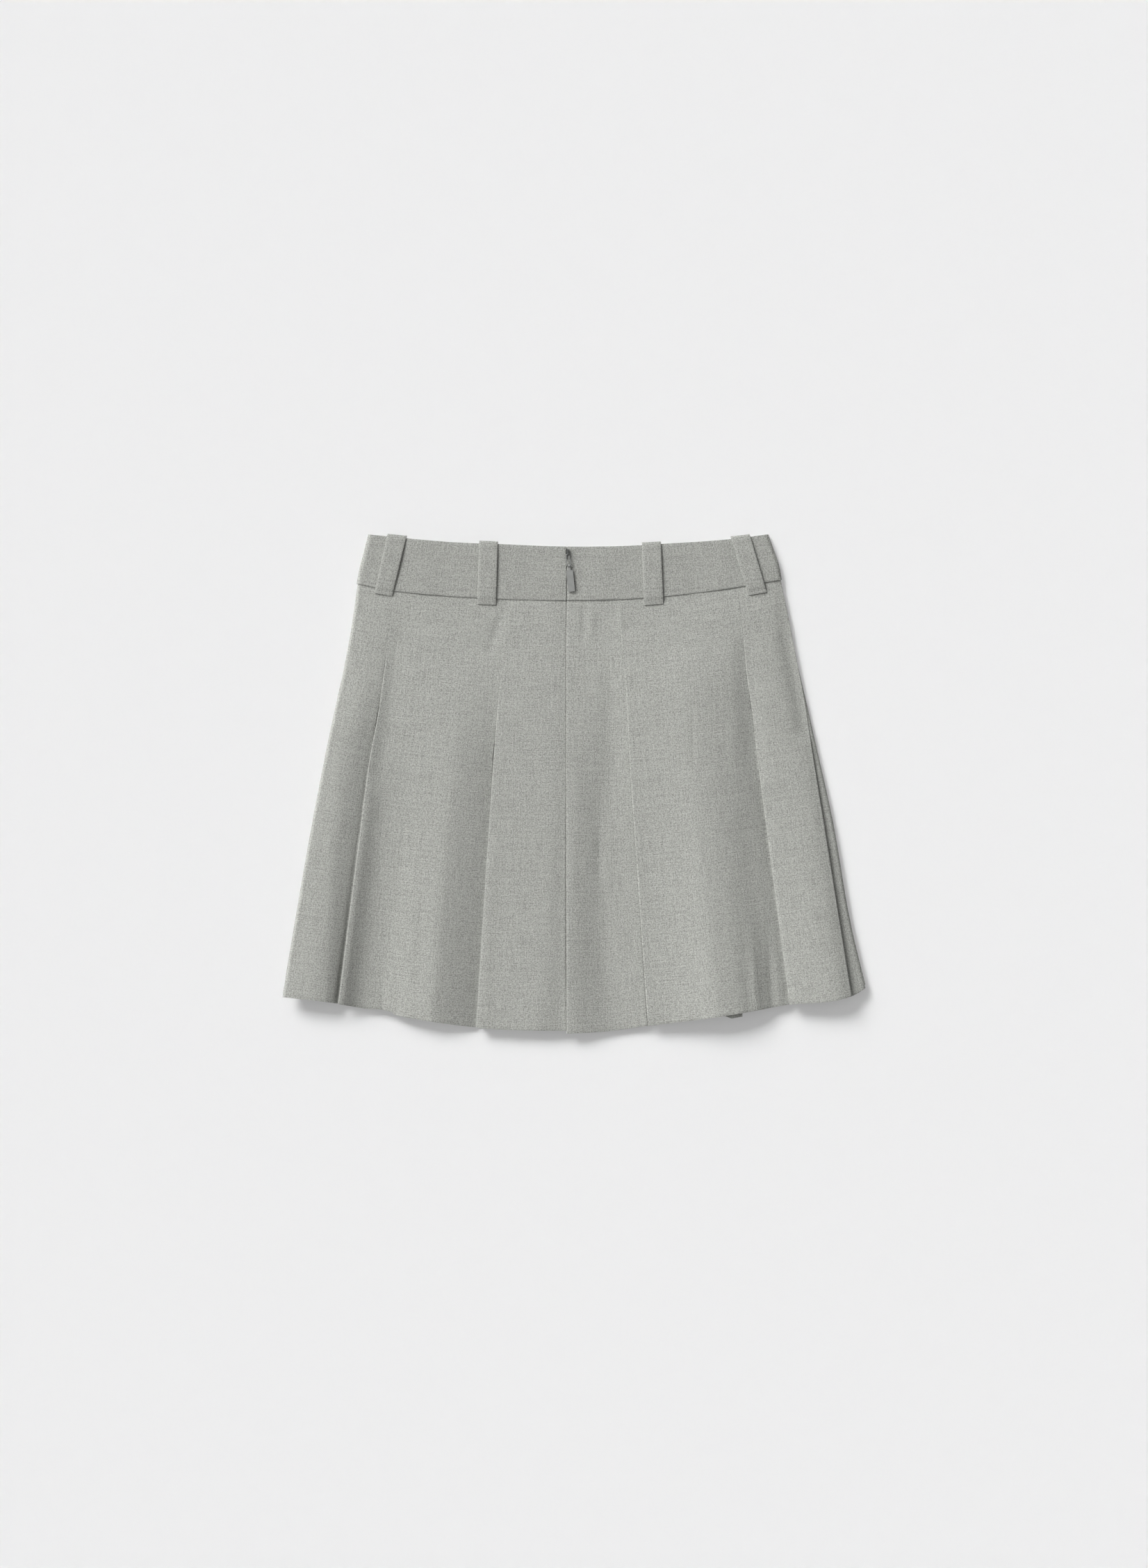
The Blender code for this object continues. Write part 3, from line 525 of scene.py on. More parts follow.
parts = np.linspace(TOP_TUCKED, 1, BACK_ROWS)
at = {name: down_skirt(name, parts) for name in list(DOWN) + list(DEPTH) if name != "part"}
ground = np.full_like(parts, GROUND)
high = ground + 2 * layer_height(parts)
full = high - ground
drop_0 = full * down_table(
    parts, (0, 0), (0.1, 0.02), (0.2, 0.12), (0.3, 0.6), (0.38, 0.95), (0.45, 1), (1, 1))
drop_1 = full * down_table(
    parts, (0, 0), (0.18, 0.03), (0.26, 0.2), (0.33, 0.5), (0.42, 0.9), (0.7, 1), (1, 1))
drop_2 = full * down_table(parts, (0, 0.1), (ZIP_END, 0.15), (0.5, 0.2), (0.7, 0.3), (1, 0.4))
to_edge = 0 * parts
ramp_0 = (down_table(parts, (0, 8), (0.25, 18), (0.4, 24), (0.6, 24), (0.8, 16), (1, 10.5)), to_edge)
ramp_1 = (down_table(parts, (0, 7), (0.1, 14), (0.4, 31), (0.65, 40), (1, 43)), to_edge)
ramp_2 = (down_table(parts, (0, 8), (0.4, 10), (1, 24)), to_edge)
gap_0, gap_1 = dive_gap(drop_0, full), dive_gap(drop_1, full)


waist_edge = edge_curve(WAIST)
plain_hem_left = edge_curve(HEM_LEFT)
HEM_STEP_AT, HEM_STEP_WIDE = -143.6, 1.4
HEM_STEP = 2.0
HEM_STEP_IN = (-170.0, 20.0)


def hem_left(x):
    """The hem with the small step that shows left of the first wave, and fades in towards it."""
    step = HEM_STEP * (soft_step((x - HEM_STEP_AT) / HEM_STEP_WIDE) - 1)
    return plain_hem_left(x) + step * soft_step((x - HEM_STEP_IN[0]) / HEM_STEP_IN[1])


# How far the cloth runs on past centre back: turned under for the zip, then under the centre pleat
tuck = np.interp(parts, [ZIP_END, (ZIP_END + PLEAT_START) / 2, PLEAT_START, 0.55], [-8, -0.4, 8, 24])
tuck = np.where(parts > 0.5, at["fold_3"] * np.interp(parts, [0.5, 0.6], [0.7, 1]), tuck)
centre_drop = high - drop_2
under_edge = np.where(parts < PLEAT_START, centre_drop - 1.0, ground)
turned = np.where(parts < PLEAT_START, centre_drop - 1.25, ground)
centre_round = down_table(parts, (0, 1.0), (ZIP_END, 0.9), (0.5, 0.5), (1, 0.45))
centre_x = at["centre"] - OPENING_HALF
rise = rise_down(parts, WAVE_RISE)
left = np.concatenate([
    side(at["left"], 1, SEAM_UP + LEFT_SEAM_RISE * rise, high, 0)[:, :-1],
    open_panel(at["left"] + SIDE_WIDE + CLOTH / 2, at["edge_1"] - gap_0, high, drop_0, ramp_0, 40, 0),
    *pleat(at["edge_1"], at["fold_1"], ground, high, drop_0, gap_0, 0),
    open_panel(at["edge_1"] + PAST_FOLD, at["edge_2"] - gap_1, high, drop_1, ramp_1, 92, 1),
    *pleat(at["edge_2"], at["fold_2"], ground, high, drop_1, gap_1, 1),
    open_panel(at["edge_2"] + PAST_FOLD, centre_x - centre_round, high, drop_2, ramp_2, 52, 2,
               soft_step),
    stretch(centre_x - 0.4, centre_x - 0.35, centre_drop - 0.08, centre_drop - 0.4, 3, 0, (2.02, 2.06)),
    stretch(centre_x - 0.35, centre_x + 0.04 * tuck, centre_drop - 0.75, under_edge, 3, 1.0, (2.1, 2.2)),
    stretch(centre_x + 0.12 * tuck, centre_x + tuck, turned, turned, 6, HIDDEN_HEM, (2.25, 2.6)),
], axis=1)
back_left = panel_piece("back_left", left, parts, waist_edge, hem_left, back_lift, ["skirt_back_left"])

# %% [markdown]
# ## The back, right of the zip
#
# This piece starts with the fold of the centre pleat, whose upper part is the zip's right edge.
# Two knife pleats follow. The last fold edge faces the other way: the panel ends in it, and a
# narrow strip comes out from under it and turns round the side seam.

# %% Back right
# The corner of a hidden layer that shows below the hem: how much longer it is, and how wide
PEEK_LONGER, PEEK_WIDE = 3.0, 11.0
hem_right = edge_curve(HEM_RIGHT)
drop_3 = full * down_table(
    parts, (0, 0.05), (0.12, 0.15), (0.25, 0.35), (0.38, 0.7), (0.5, 0.8), (1, 0.8))
drop_4 = full * down_table(parts, (0, 0), (0.1, 0.03), (0.2, 0.25), (0.3, 0.8), (0.4, 1), (1, 1))
drop_5 = down_table(parts, (0, 0.8), (0.08, 1.6), (0.3, 2.0), (0.42, 1.2), (0.6, 1.0), (1, 1.4))
panel_3_wide = at["edge_4"] - at["centre"]
ramp_3 = (
    panel_3_wide - down_table(parts, (0, 8), (0.2, 13), (0.5, 4), (0.85, 0), (1, 0)),
    panel_3_wide - down_table(parts, (0, 26), (0.2, 36), (0.4, 37), (0.6, 36), (0.85, 34), (1, 46)),
)
rise_3 = down_table(parts, (0, 0.8), (0.2, 0.7), (0.4, 0.3), (1, 0.15))
ramp_4 = (down_table(parts, (0, 8), (0.17, 13), (0.38, 20), (0.61, 30), (1, 40)), to_edge)
# How far the centre pleat's fold reaches back: narrow at the zip, smoothed over nine rows
reach_3 = np.where(parts < PLEAT_START, 9.0, at["fold_3"])
reach_3 = np.convolve(np.pad(reach_3, 4, mode="edge"), np.ones(9) / 9, mode="valid")
middle = (ground + high) / 2
gap_3, gap_4 = down_table(parts, (0, -0.4), (0.8, -0.3), (1, 0.4)), dive_gap(drop_4, full)
under_4 = pleat(at["edge_4"], at["fold_4"], ground, high, (1 - rise_3) * drop_3, gap_3, 3)
peek = under_4[2]
inside = soft_step((peek[..., 0] - (at["edge_4"] + at["fold_4"])[:, None] + PEEK_WIDE) / 0.8)
longer = peek[..., 2] * (1 - inside) - PEEK_LONGER * inside
peek[..., 2] = np.where(peek[..., 2] > 0, longer, peek[..., 2])
centre_x = at["centre"] + OPENING_HALF
right = np.concatenate([
    stretch(centre_x + reach_3, centre_x + 1.2, ground + 0.75, middle, 12, HIDDEN_HEM, (2.4, 2.7)),
    fold(centre_x + 6, centre_x, 2 * middle - high, high, (HIDDEN_HEM, 0.0), (2.75, 3))[
        :, TURN_POINTS + MIDDLE_POINTS:],
    open_panel(centre_x + PAST_FOLD, at["edge_4"] - gap_3, high, drop_3, ramp_3, 54, 3, soft_step,
               rise_3),
    *under_4,
    open_panel(at["edge_4"] + PAST_FOLD, at["edge_5"] - gap_4, high, drop_4, ramp_4, 92, 4),
    *pleat(at["edge_5"], at["fold_5"], ground, high, drop_4, gap_4, 4),
    open_panel(at["edge_5"] + PAST_FOLD, at["edge_6"] - 1.4, high, drop_5, (10 + to_edge, to_edge),
               36, 5),
    fold(at["edge_6"] - CLOTH / 2, at["edge_6"] - at["fold_6"], high - drop_5, ground,
         (0.0, HIDDEN_HEM), (5, 6)),
    stretch(at["edge_6"] - at["fold_6"] + 2.5, at["right"] - SIDE_WIDE - CLOTH, ground, ground, 14, 0,
            (6, 6)),
    side(at["right"], -1, SEAM_UP + 0 * parts, ground, 6)[:, ::-1],
], axis=1)
back_right = panel_piece("back_right", right, parts, waist_edge, hem_right, back_lift,
                         ["skirt_back_right"])

# %% [markdown]
# ## The front
#
# Nobody sees it from above, but it is there: the outer face rests on the table, with five
# pleats that mirror those of the back and point the same way round the body. Its hidden layers
# lie above it. Its hem is a little shorter, so that it stays behind the back's. Here and there it
# leaves the table in creases like the back's, and at the left its side curls up to the raised seam.

# %% Front
FRONT_HEM = 3.0
FRONT_ROWS = 90
LEFT_CURL = 11.0
WAVE_SHARE = 0.22
SIDE_FADE = 22.0
# Past a fold edge: where the upper hidden layer ends, the dive to the table, the next panel
FRONT_OVER, FRONT_DIVE, FRONT_NEXT = 1.0, (1.4, 7.0), 8.0
FRONT_CREASES = [
    (7.0, 0.7, [(-146, 60), (-154, 150), (-160, 240)]),
    (9.0, 0.8, [(-98, 90), (-104, 190), (-112, 300)]),
    (6.0, 0.5, [(-30, 45), (-33, 120), (-38, 175)]),
    (8.0, 0.7, [(22, 120), (25, 220), (27, 330)]),
    (6.5, 0.6, [(68, 50), (74, 140), (80, 200)]),
    (9.0, 0.8, [(128, 100), (138, 210), (147, 330)]),
    (5.5, 0.5, [(168, 70), (178, 160), (184, 230)]),
    (5.0, 0.4, [(-186, 180), (-194, 300)]),
]


def front_hem(x):
    """The back's two hems, a little shorter."""
    return np.where(x < 0, plain_hem_left(np.minimum(x, 0)), hem_right(np.maximum(x, 0))) - FRONT_HEM


def front_lift(x, up, down, parts):
    """The front's creases and a share of the back's waves, up from the table, none at the sides."""
    rise = rise_down(parts, WAVE_RISE)[:, None]
    left, right = (down_skirt(name, parts)[:, None] for name in ("left", "right"))
    inside = soft_step((x - left) / SIDE_FADE) * soft_step((right - x) / SIDE_FADE)
    waves = np.maximum(across_lift(at_hem(x, parts), WAVES), 0)
    return inside * (WAVE_SHARE * rise * waves + creases(x, down, FRONT_CREASES))


parts = np.linspace(TOP_TUCKED, 1, FRONT_ROWS)
at = {name: down_skirt(name, parts) for name in list(DOWN) + list(DEPTH) if name != "part"}
low = np.full_like(parts, CLOTH / 2)
over = low + 2 * LAYER_FRONT
rise = rise_down(parts, WAVE_RISE)
left_seam = SEAM_UP + (LEFT_SEAM_RISE + WAVES["lift"][0]) * rise
left_curl = at["left"] + CLOTH / 2 + SIDE_WIDE + LEFT_CURL * rise
front = [stretch(at["left"] + CLOTH / 2, left_curl, left_seam, low, 14, 0, (0, 0))]
front_pleats = [
    (-at["edge_5"], at["fold_5"]), (-at["edge_4"], at["fold_4"]), (0 * parts, 28 + 20 * parts),
    (-at["edge_2"], at["fold_2"]), (-at["edge_1"], at["fold_1"]),
]
start = left_curl + 2
for i, (edge, depth) in enumerate(front_pleats):
    front += [
        stretch(start, edge - 1.2, low, low, 16, 0, (i, i)),
        fold(edge, edge - depth, low, over, (HIDDEN_HEM, HIDDEN_HEM), (i, i + 0.6)),
        stretch(edge - depth + 2, edge + FRONT_OVER, over, over, 8, HIDDEN_HEM, (i + 0.6, i + 0.9)),
        stretch(edge + FRONT_DIVE[0], edge + FRONT_DIVE[1], over, low, 6, 1.0, (i + 0.9, i + 1)),
    ]
    start = edge + FRONT_NEXT
front += [
    stretch(start, at["right"] - 6, low, low, 16, 0, (5, 5)),
    side(at["right"], -1, SEAM_UP + WAVES["lift"][-1] * rise, low, 5)[:, ::-1],
]
front = panel_piece("front", np.concatenate(front, axis=1), parts, waist_edge, front_hem, front_lift,
                    ["skirt_front"])

# %% [markdown]
# ## Waistband
#
# Two layers of cloth with a stiff layer between them make a firm, smooth band about 2 mm thick.
# It is the same kind of surface with a thicker wall and a rounder edge. It crowns a little over
# the zip, and its sides turn down to meet the front band.

# %% Waistband
BAND = 1.9
BAND_RIM = 0.55
BAND_ROWS = 26
BAND_FRONT_UP = 1.0
BAND_SIDE_WIDE = 3.0
BAND_SHORT = 0.1
band_top = edge_curve(BAND_TOP)
BACK_SEAM_UP, FRONT_SEAM_UP = 3.1, 2.9
BAND_CREASES = [
    (10.0, 0.35, [(-118, -20), (-116, 50)]),
    (7.0, -0.25, [(-34, -6), (-30, 50)]),
    (9.0, 0.3, [(30, -20), (27, 50)]),
    (8.0, -0.3, [(102, -20), (108, 50)]),
    (9.0, 0.3, [(126, -20), (134, 50)]),
]


def band_waves(x, down, which):
    """Very soft waves of the firm band: creases that don't fade along their path."""
    total = 0 * x
    for width, height, path in which:
        across, along = np.array(path, dtype=float).T
        total += height * np.exp(-(((x - np.interp(down, along, across)) / width) ** 2))
    return total


def band_piece(name, edge_from, edge_to, level, seam_up, count, node, closed_ends, which):
    """A length of band between two edges: a rounded side where it meets the other band."""
    parts = np.linspace(0, 1, BAND_ROWS)
    pieces = []
    angle = np.linspace(0, math.pi / 2, 9)
    bend_x = BAND / 2 + BAND_SIDE_WIDE * (1 - np.cos(angle))

    def turned_end(edge, inward, level_up):
        """A quarter of an ellipse from the side seam to the level stretch."""
        share = np.sin(angle[:-1])
        up = np.outer(seam_up + 0 * parts, 1 - share) + np.outer(level_up, share)
        return edge[:, None] + inward * bend_x[:-1], up

    start, end = edge_from(parts), edge_to(parts)
    begin = start + (bend_x[-1] if closed_ends[0] else 0)
    stop = end - (bend_x[-1] if closed_ends[1] else 0)
    x = np.outer(begin, 1 - np.linspace(0, 1, count)) + np.outer(stop, np.linspace(0, 1, count))
    up = level(x)
    if closed_ends[0]:
        pieces.append(turned_end(start, 1, up[:, 0]))
    pieces.append((x, up))
    if closed_ends[1]:
        pieces.append([part[:, ::-1] for part in turned_end(end, -1, up[:, -1])])
    x = np.concatenate([piece[0] for piece in pieces], axis=1)
    up = np.concatenate([piece[1] for piece in pieces], axis=1)
    top = band_top(x)
    down = top + parts[:, None] * (waist_edge(x) - BAND_SHORT - top)
    points = np.dstack([x, -down, up + band_waves(x, down, which)])
    return cloth_piece(name, points, 0 * x, BAND, [node], rim=BAND_RIM)


def band_edge(name):
    """An outer side of the waistband, left or right."""
    return lambda parts: smooth(parts, BAND_SIDES["part"], BAND_SIDES[name])


def zip_edge(way):
    """An edge of the opening, which the slider's neck pushes apart near the top."""
    return lambda parts: DOWN["centre"][0] + way * np.interp(
        parts, [0, 0.12, 0.2, 0.3, 1], [0.45, 0.8, 0.7, 0.2, OPENING_HALF])


def front_level(x):
    """The front band lies flat."""
    return BAND_FRONT_UP + 0 * x


band_left = band_piece("band_back_left", band_edge("left"), zip_edge(-1), band_up, BACK_SEAM_UP, 70,
                       "waistband_back_left", (True, False), BAND_CREASES)
band_right = band_piece("band_back_right", zip_edge(1), band_edge("right"), band_up, BACK_SEAM_UP, 70,
                        "waistband_back_right", (False, True), BAND_CREASES)
band_front = band_piece("band_front", band_edge("left"), band_edge("right"), front_level, FRONT_SEAM_UP,
                        120, "waistband_front", (True, True), [])

# %% [markdown]
# ## Belt loops
#
# Each loop is a narrow strip, folded so that no raw edge shows. It starts behind the band's upper
# edge, lies along the band with a little slack, and its foot is sewn to the skirt just below the
# waist seam. The strip is drawn along its own path in the side view, then widened.

# %% Belt loops
LOOP = 1.1
LOOP_SLACK = 0.55
LOOP_PROUD = 2.2
LOOP_SIDES = 9
LOOP_FOOT = 5.8


def loop_piece(number, row):
    """A strip along a route of distance from its top and height, at its own slant and widths."""
    top, foot = (row["top_across"], row["top_down"]), (row["foot_across"], row["foot_down"])
    length = math.dist(top, foot)
    band = band_up(np.array([top[0], foot[0]])) + BAND / 2
    lying = LOOP / 2 + 0.1
    seam_at = 1 - LOOP_FOOT / length
    skirt_top = band[1] - BAND / 2 - WAIST_STEP + CLOTH / 2
    route = np.array([
        (LOOP / 2, band[0] - 2.6),
        (LOOP / 2, band[0] - 0.9),
        (LOOP / 2 + 0.1, band[0] - 0.2),
        (LOOP / 2 + 0.6, band[0] + lying - 0.15),
        (LOOP + 1.1, band[0] + lying),
        (0.12 * length, band[0] + lying + 0.3 * LOOP_SLACK),
        (0.3 * length, band[0] + lying + LOOP_SLACK),
        (0.6 * length, band.mean() + lying + LOOP_SLACK),
        (seam_at * length - 3.5, band[1] + lying + 0.35),
        (seam_at * length, band[1] + lying + 0.05),
        (seam_at * length + 1.8, (band[1] + skirt_top) / 2 + lying),
        (length - 2.5, skirt_top + lying + 0.1),
        (length, skirt_top + lying),
    ])
    walk = np.concatenate([[0], np.cumsum(np.hypot(*np.diff(route, axis=0).T))])
    steps = np.linspace(0, walk[-1], 44)
    route = np.column_stack([soft_table(steps, walk, route[:, 0]), soft_table(steps, walk, route[:, 1])])
    part = route[:, :1] / length
    sides = np.linspace(-0.5, 0.5, LOOP_SIDES)
    ends_x = [top[0] + row["top_width"] * sides, foot[0] + row["foot_width"] * sides]
    ends_down = [band_top(ends_x[0]) - LOOP_PROUD, foot[1] + waist_edge(ends_x[1]) - waist_edge(foot[0])]
    x = (1 - part) * ends_x[0] + part * ends_x[1]
    down = (1 - part) * ends_down[0] + part * ends_down[1]
    up = np.repeat(route[:, 1:], LOOP_SIDES, axis=1) - 0.15 * (2 * sides) ** 4
    points = np.dstack([x, -down, up])
    return cloth_piece(f"loop_{number}", points, 0 * x, LOOP, [f"belt_loop_{number}"], rim=0.4)


loops = [loop_piece(i + 1, {name: column[i] for name, column in LOOPS.items()})
         for i in range(len(LOOPS["top_across"]))]

# %% [markdown]
# ## Concealed zip
#
# The tapes and teeth of a concealed zip sit inside, behind the opening. Each tape is a thin woven
# strip. Its teeth are one coil, so each is a small bent rod: a box with its outer end narrowed,
# repeated down the edge as one array.

# %% Zip tapes and teeth
TAPE = 0.5
TAPE_WIDTH = 12.0
TAPE_ROWS = 60
TAPE_FROM, TAPE_TO = 1.2, 185.0
TAPE_BELOW = 0.35
TURNED_EDGE = 1.0
TOOTH_PITCH = 1.35
TOOTH = (1.1, 0.42, 0.36)
TOOTH_NARROW = 0.6
TEETH = 134
TEETH_FROM = 2.5
# Centre back: the waist seam, the skirt's length below it, and where the zip's line is upright
WAIST_CENTRE = 44.6
SKIRT_LENGTH = 355.0
UPRIGHT_FROM = 84.6


def tape_under(down):
    """Height of the tape: under the band, then under the skirt's upper layer and its turned edge."""
    part = np.clip((down - WAIST_CENTRE) / SKIRT_LENGTH, 0, 1)
    band = band_up(0.0) - BAND / 2
    layers = GROUND + 2 * layer_height(part)
    pull = (1 - soft_step(part / BAND_PULL)) * (band_up(0.0) - WAIST_STEP - layers)
    skirt = layers - CLOTH / 2 + pull - TURNED_EDGE
    return np.where(down < WAIST_CENTRE, np.minimum(band, skirt + 0.4), skirt) - TAPE_BELOW


def zip_line(down):
    """How far across the zip's middle runs at each distance down."""
    return np.interp(down, [WAIST_CENTRE, UPRIGHT_FROM], [DOWN["centre"][0], 0])


down = np.linspace(TAPE_FROM, TAPE_TO, TAPE_ROWS)
centre = zip_line(down)
tapes = []
for name, way in (("left", -1), ("right", 1)):
    x = centre[:, None] + way * np.linspace(0.9, TAPE_WIDTH, 6)[None, :] + 0 * down[:, None]
    points = np.dstack([x, -down[:, None] + 0 * x, tape_under(down)[:, None] + 0 * x])
    tapes.append(cloth_piece(f"tape_{name}", points, 0 * x, TAPE, [f"zip_tape_{name}"], rim=0.1))


def teeth_piece(name, way, count):
    """Bent rods down the tape's edge: eight corners each, the outer end narrower, as one array."""
    ends = (-0.5, 0.5)
    corner = np.array([[i, j, k] for i in (0, 1) for j in ends for k in ends], dtype=float)
    narrow = np.where(corner[:, :1] == 0, TOOTH_NARROW, 1.0)
    shape = corner * np.array(TOOTH) * np.hstack([np.ones_like(narrow), narrow, narrow])
    along = TEETH_FROM + TOOTH_PITCH * (np.arange(count) + (0.5 if way > 0 else 0))
    x = zip_line(along)[:, None] + way * (0.05 + shape[None, :, 0])
    y = -along[:, None] + shape[None, :, 1]
    z = tape_under(along)[:, None] - TAPE / 2 - 0.25 + shape[None, :, 2]
    points = np.dstack([x - ORIGIN_ACROSS, y + ORIGIN_DOWN, z]).reshape(-1, 3) * MM
    faces = np.array([
        [0, 1, 3, 2], [4, 6, 7, 5], [0, 4, 5, 1], [2, 3, 7, 6], [0, 2, 6, 4], [1, 5, 7, 3],
    ])
    faces = faces[:, ::-1] if way < 0 else faces
    faces = (faces[None] + 8 * np.arange(count)[:, None, None]).reshape(-1, 4)
    mesh = bpy.data.meshes.new(name)
    mesh.from_pydata(points.tolist(), [], faces.tolist())
    item = add_object(name, mesh)
    round_off = item.modifiers.new("Round", "BEVEL")
    round_off.width = 0.08 * MM
    round_off.segments = 1
    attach(item, "skirt")
    print(name, count, "teeth")
    return item


teeth = [teeth_piece("teeth_left", -1, TEETH), teeth_piece("teeth_right", 1, TEETH)]

# %% [markdown]
# ## Finishes
#
# Melange cloth is spun from fibres of several greys, so threads differ along their length. A
# photograph of it could be wrapped round the model, but it would show its repeat and its light.
# Noise does it at any place: fine round grains for the fibres, and grains stretched along the
# weft and along the warp for single threads and for slubs. The group below is placed in each
# cloth material with its own values.

# %% A node group for woven cloth
MOTTLE_SHARE = 0.08


def link(tree, start, end):
    tree.links.new(start, end)


def math_node(tree, operation, first, second):
    """Adds a Math node: each operand is a number or a socket."""
    node = tree.nodes.new("ShaderNodeMath")
    node.operation = operation
    for socket, value in zip(node.inputs, (first, second)):
        if isinstance(value, (int, float)):
            socket.default_value = value
        else:
            link(tree, value, socket)
    return node.outputs[0]


def noise_along(tree, vector, scale, detail, seed):
    """Noise whose grain is stretched: scale gives how many grains fit in a metre, each way."""
    place = tree.nodes.new("ShaderNodeMapping")
    place.inputs["Location"].default_value = (seed, 2.7 * seed, 0)
    place.inputs["Scale"].default_value = (*scale, 1)
    link(tree, vector, place.inputs["Vector"])
    noise = tree.nodes.new("ShaderNodeTexNoise")
    noise.noise_dimensions = "2D"
    noise.inputs["Scale"].default_value = 1
    noise.inputs["Detail"].default_value = detail
    noise.inputs["Roughness"].default_value = 0.6
    link(tree, place.outputs[0], noise.inputs["Vector"])
    return math_node(tree, "SUBTRACT", noise.outputs[0], 0.5)


def mix_colours(tree, factor, first, second):
    """The first colour at 0, the second at 1."""
    mix = tree.nodes.new("ShaderNodeMix")
    mix.data_type = "RGBA"
    for end, socket in ((factor, mix.inputs["Factor"]), (first, mix.inputs[6]), (second, mix.inputs[7])):
        link(tree, end, socket)
    return mix.outputs[2]


def new_group(name, colours, numbers):
    """A node group that takes colours and numbers, and gives a colour, a roughness and a height."""
    tree = bpy.data.node_groups.new(name, "ShaderNodeTree")
    for socket in colours:
        tree.interface.new_socket(socket, in_out="INPUT", socket_type="NodeSocketColor")
    for socket, start in numbers:
        face = tree.interface.new_socket(socket, in_out="INPUT", socket_type="NodeSocketFloat")
        face.default_value = start
    for socket, kind in (("Color", "Color"), ("Roughness", "Float"), ("Height", "Float")):
        tree.interface.new_socket(socket, in_out="OUTPUT", socket_type="NodeSocket" + kind)
    return tree


def give(tree, colour, rough, height):
    """What the group gives."""
    out = tree.nodes.new("NodeGroupOutput")
    for name, value in (("Color", colour), ("Roughness", rough), ("Height", height)):
        link(tree, value, out.inputs[name])
    return tree


def woven_group():
    """Colour, height and roughness of a plain weave of uneven threads."""
    tree = new_group("Melange weave", ("Dark", "Light"),
                     (("Slubs", 1.0), ("Mottle", 1.0), ("Threads per metre", 1600.0)))
    tree.interface.new_socket("Vector", in_out="INPUT", socket_type="NodeSocketVector")
    given = tree.nodes.new("NodeGroupInput").outputs
    vector = given["Vector"]
    # Each grain's share of the colour, how many fit in a metre along weft and warp, and its seed
    grains = [
        (1.75, (950, 1050), 7.7), (0.8, (400, 1250), 1.3), (0.8, (1250, 400), 4.1),
        (0.55, (60, 1300), 21.7), (0.55, (1300, 60), 17.9), (0.38, (14, 1200), 11.3),
        (0.32, (1200, 14), 13.9),
    ]
    noises = [
        math_node(tree, "MULTIPLY", noise_along(tree, vector, scale, 2, seed), share)
        for share, scale, seed in grains
    ]
    slubs = noises[0]
    for noise in noises[1:]:
        slubs = math_node(tree, "ADD", noise, slubs)
    mottle = noise_along(tree, vector, (55, 70), 2, 9.2)
    slubs = math_node(tree, "MULTIPLY", slubs, given["Slubs"])
    mottle = math_node(tree, "MULTIPLY", mottle, MOTTLE_SHARE)
    mottle = math_node(tree, "MULTIPLY", mottle, given["Mottle"])
    mix_at = math_node(tree, "ADD", math_node(tree, "ADD", slubs, mottle), 0.5)
    colour = mix_colours(tree, mix_at, given["Dark"], given["Light"])
    split = tree.nodes.new("ShaderNodeSeparateXYZ")
    link(tree, vector, split.inputs[0])
    turns = []
    for along in (split.outputs[0], split.outputs[1]):
        count = math_node(tree, "MULTIPLY", along, given["Threads per metre"])
        turns.append(math_node(tree, "SINE", math_node(tree, "MULTIPLY", count, math.pi), 0.0))
    weave = math_node(tree, "MULTIPLY", math_node(tree, "MULTIPLY", turns[0], turns[1]), 0.25)
    height = math_node(tree, "ADD", weave, math_node(tree, "MULTIPLY", slubs, 0.8))
    rough = math_node(tree, "ADD", math_node(tree, "MULTIPLY", slubs, -0.1), 0.88)
    return give(tree, colour, rough, height)


WEAVE = woven_group()
print("woven group:", len(WEAVE.nodes), "nodes")

# %% [markdown]
# The cloth itself is dull: nearly no gloss, a little sheen from loose fibre ends, and a bump as
# high as a thread is thick. The firm band looks a shade darker. The same group makes the tape, with
# finer, more even threads.

# %% Cloth and tape
CLOTH_DARK = (0.235, 0.238, 0.220)
CLOTH_LIGHT = (0.505, 0.512, 0.480)
BAND_SHADE = 0.95
THREAD_HEIGHT = 0.0003


def group_material(name, group_tree, looks, colours, numbers, bump, distance):
    """A material from a node group: values of the shader, then the group's own, then the relief."""
    material = bpy.data.materials.new(name)
    material.use_nodes = True
    tree = material.node_tree
    shader = tree.nodes["Principled BSDF"]
    for socket, value in looks.items():
        shader.inputs[socket].default_value = value
    group = tree.nodes.new("ShaderNodeGroup")
    group.node_tree = group_tree
    for socket, value in colours.items():
        group.inputs[socket].default_value = (*value, 1)
    for socket, value in numbers.items():
        group.inputs[socket].default_value = value
    link(tree, group.outputs["Color"], shader.inputs["Base Color"])
    link(tree, group.outputs["Roughness"], shader.inputs["Roughness"])
    relief = tree.nodes.new("ShaderNodeBump")
    relief.inputs["Strength"].default_value = bump
    relief.inputs["Distance"].default_value = distance
    link(tree, group.outputs["Height"], relief.inputs["Height"])
    link(tree, relief.outputs[0], shader.inputs["Normal"])
    return material, tree, group


def woven_material(name, dark, light, slubs, mottle, threads, sheen, bump):
    """A cloth from the woven group, with its own colours and its own share of each effect."""
    material, tree, group = group_material(
        name, WEAVE, {"Specular IOR Level": 0.2, "Sheen Weight": sheen, "Sheen Roughness": 0.5},
        {"Dark": dark, "Light": light},
        {"Slubs": slubs, "Mottle": mottle, "Threads per metre": threads}, bump, THREAD_HEIGHT)
    uv = tree.nodes.new("ShaderNodeUVMap")
    uv.uv_map = "Threads"
    link(tree, uv.outputs[0], group.inputs["Vector"])
    return material


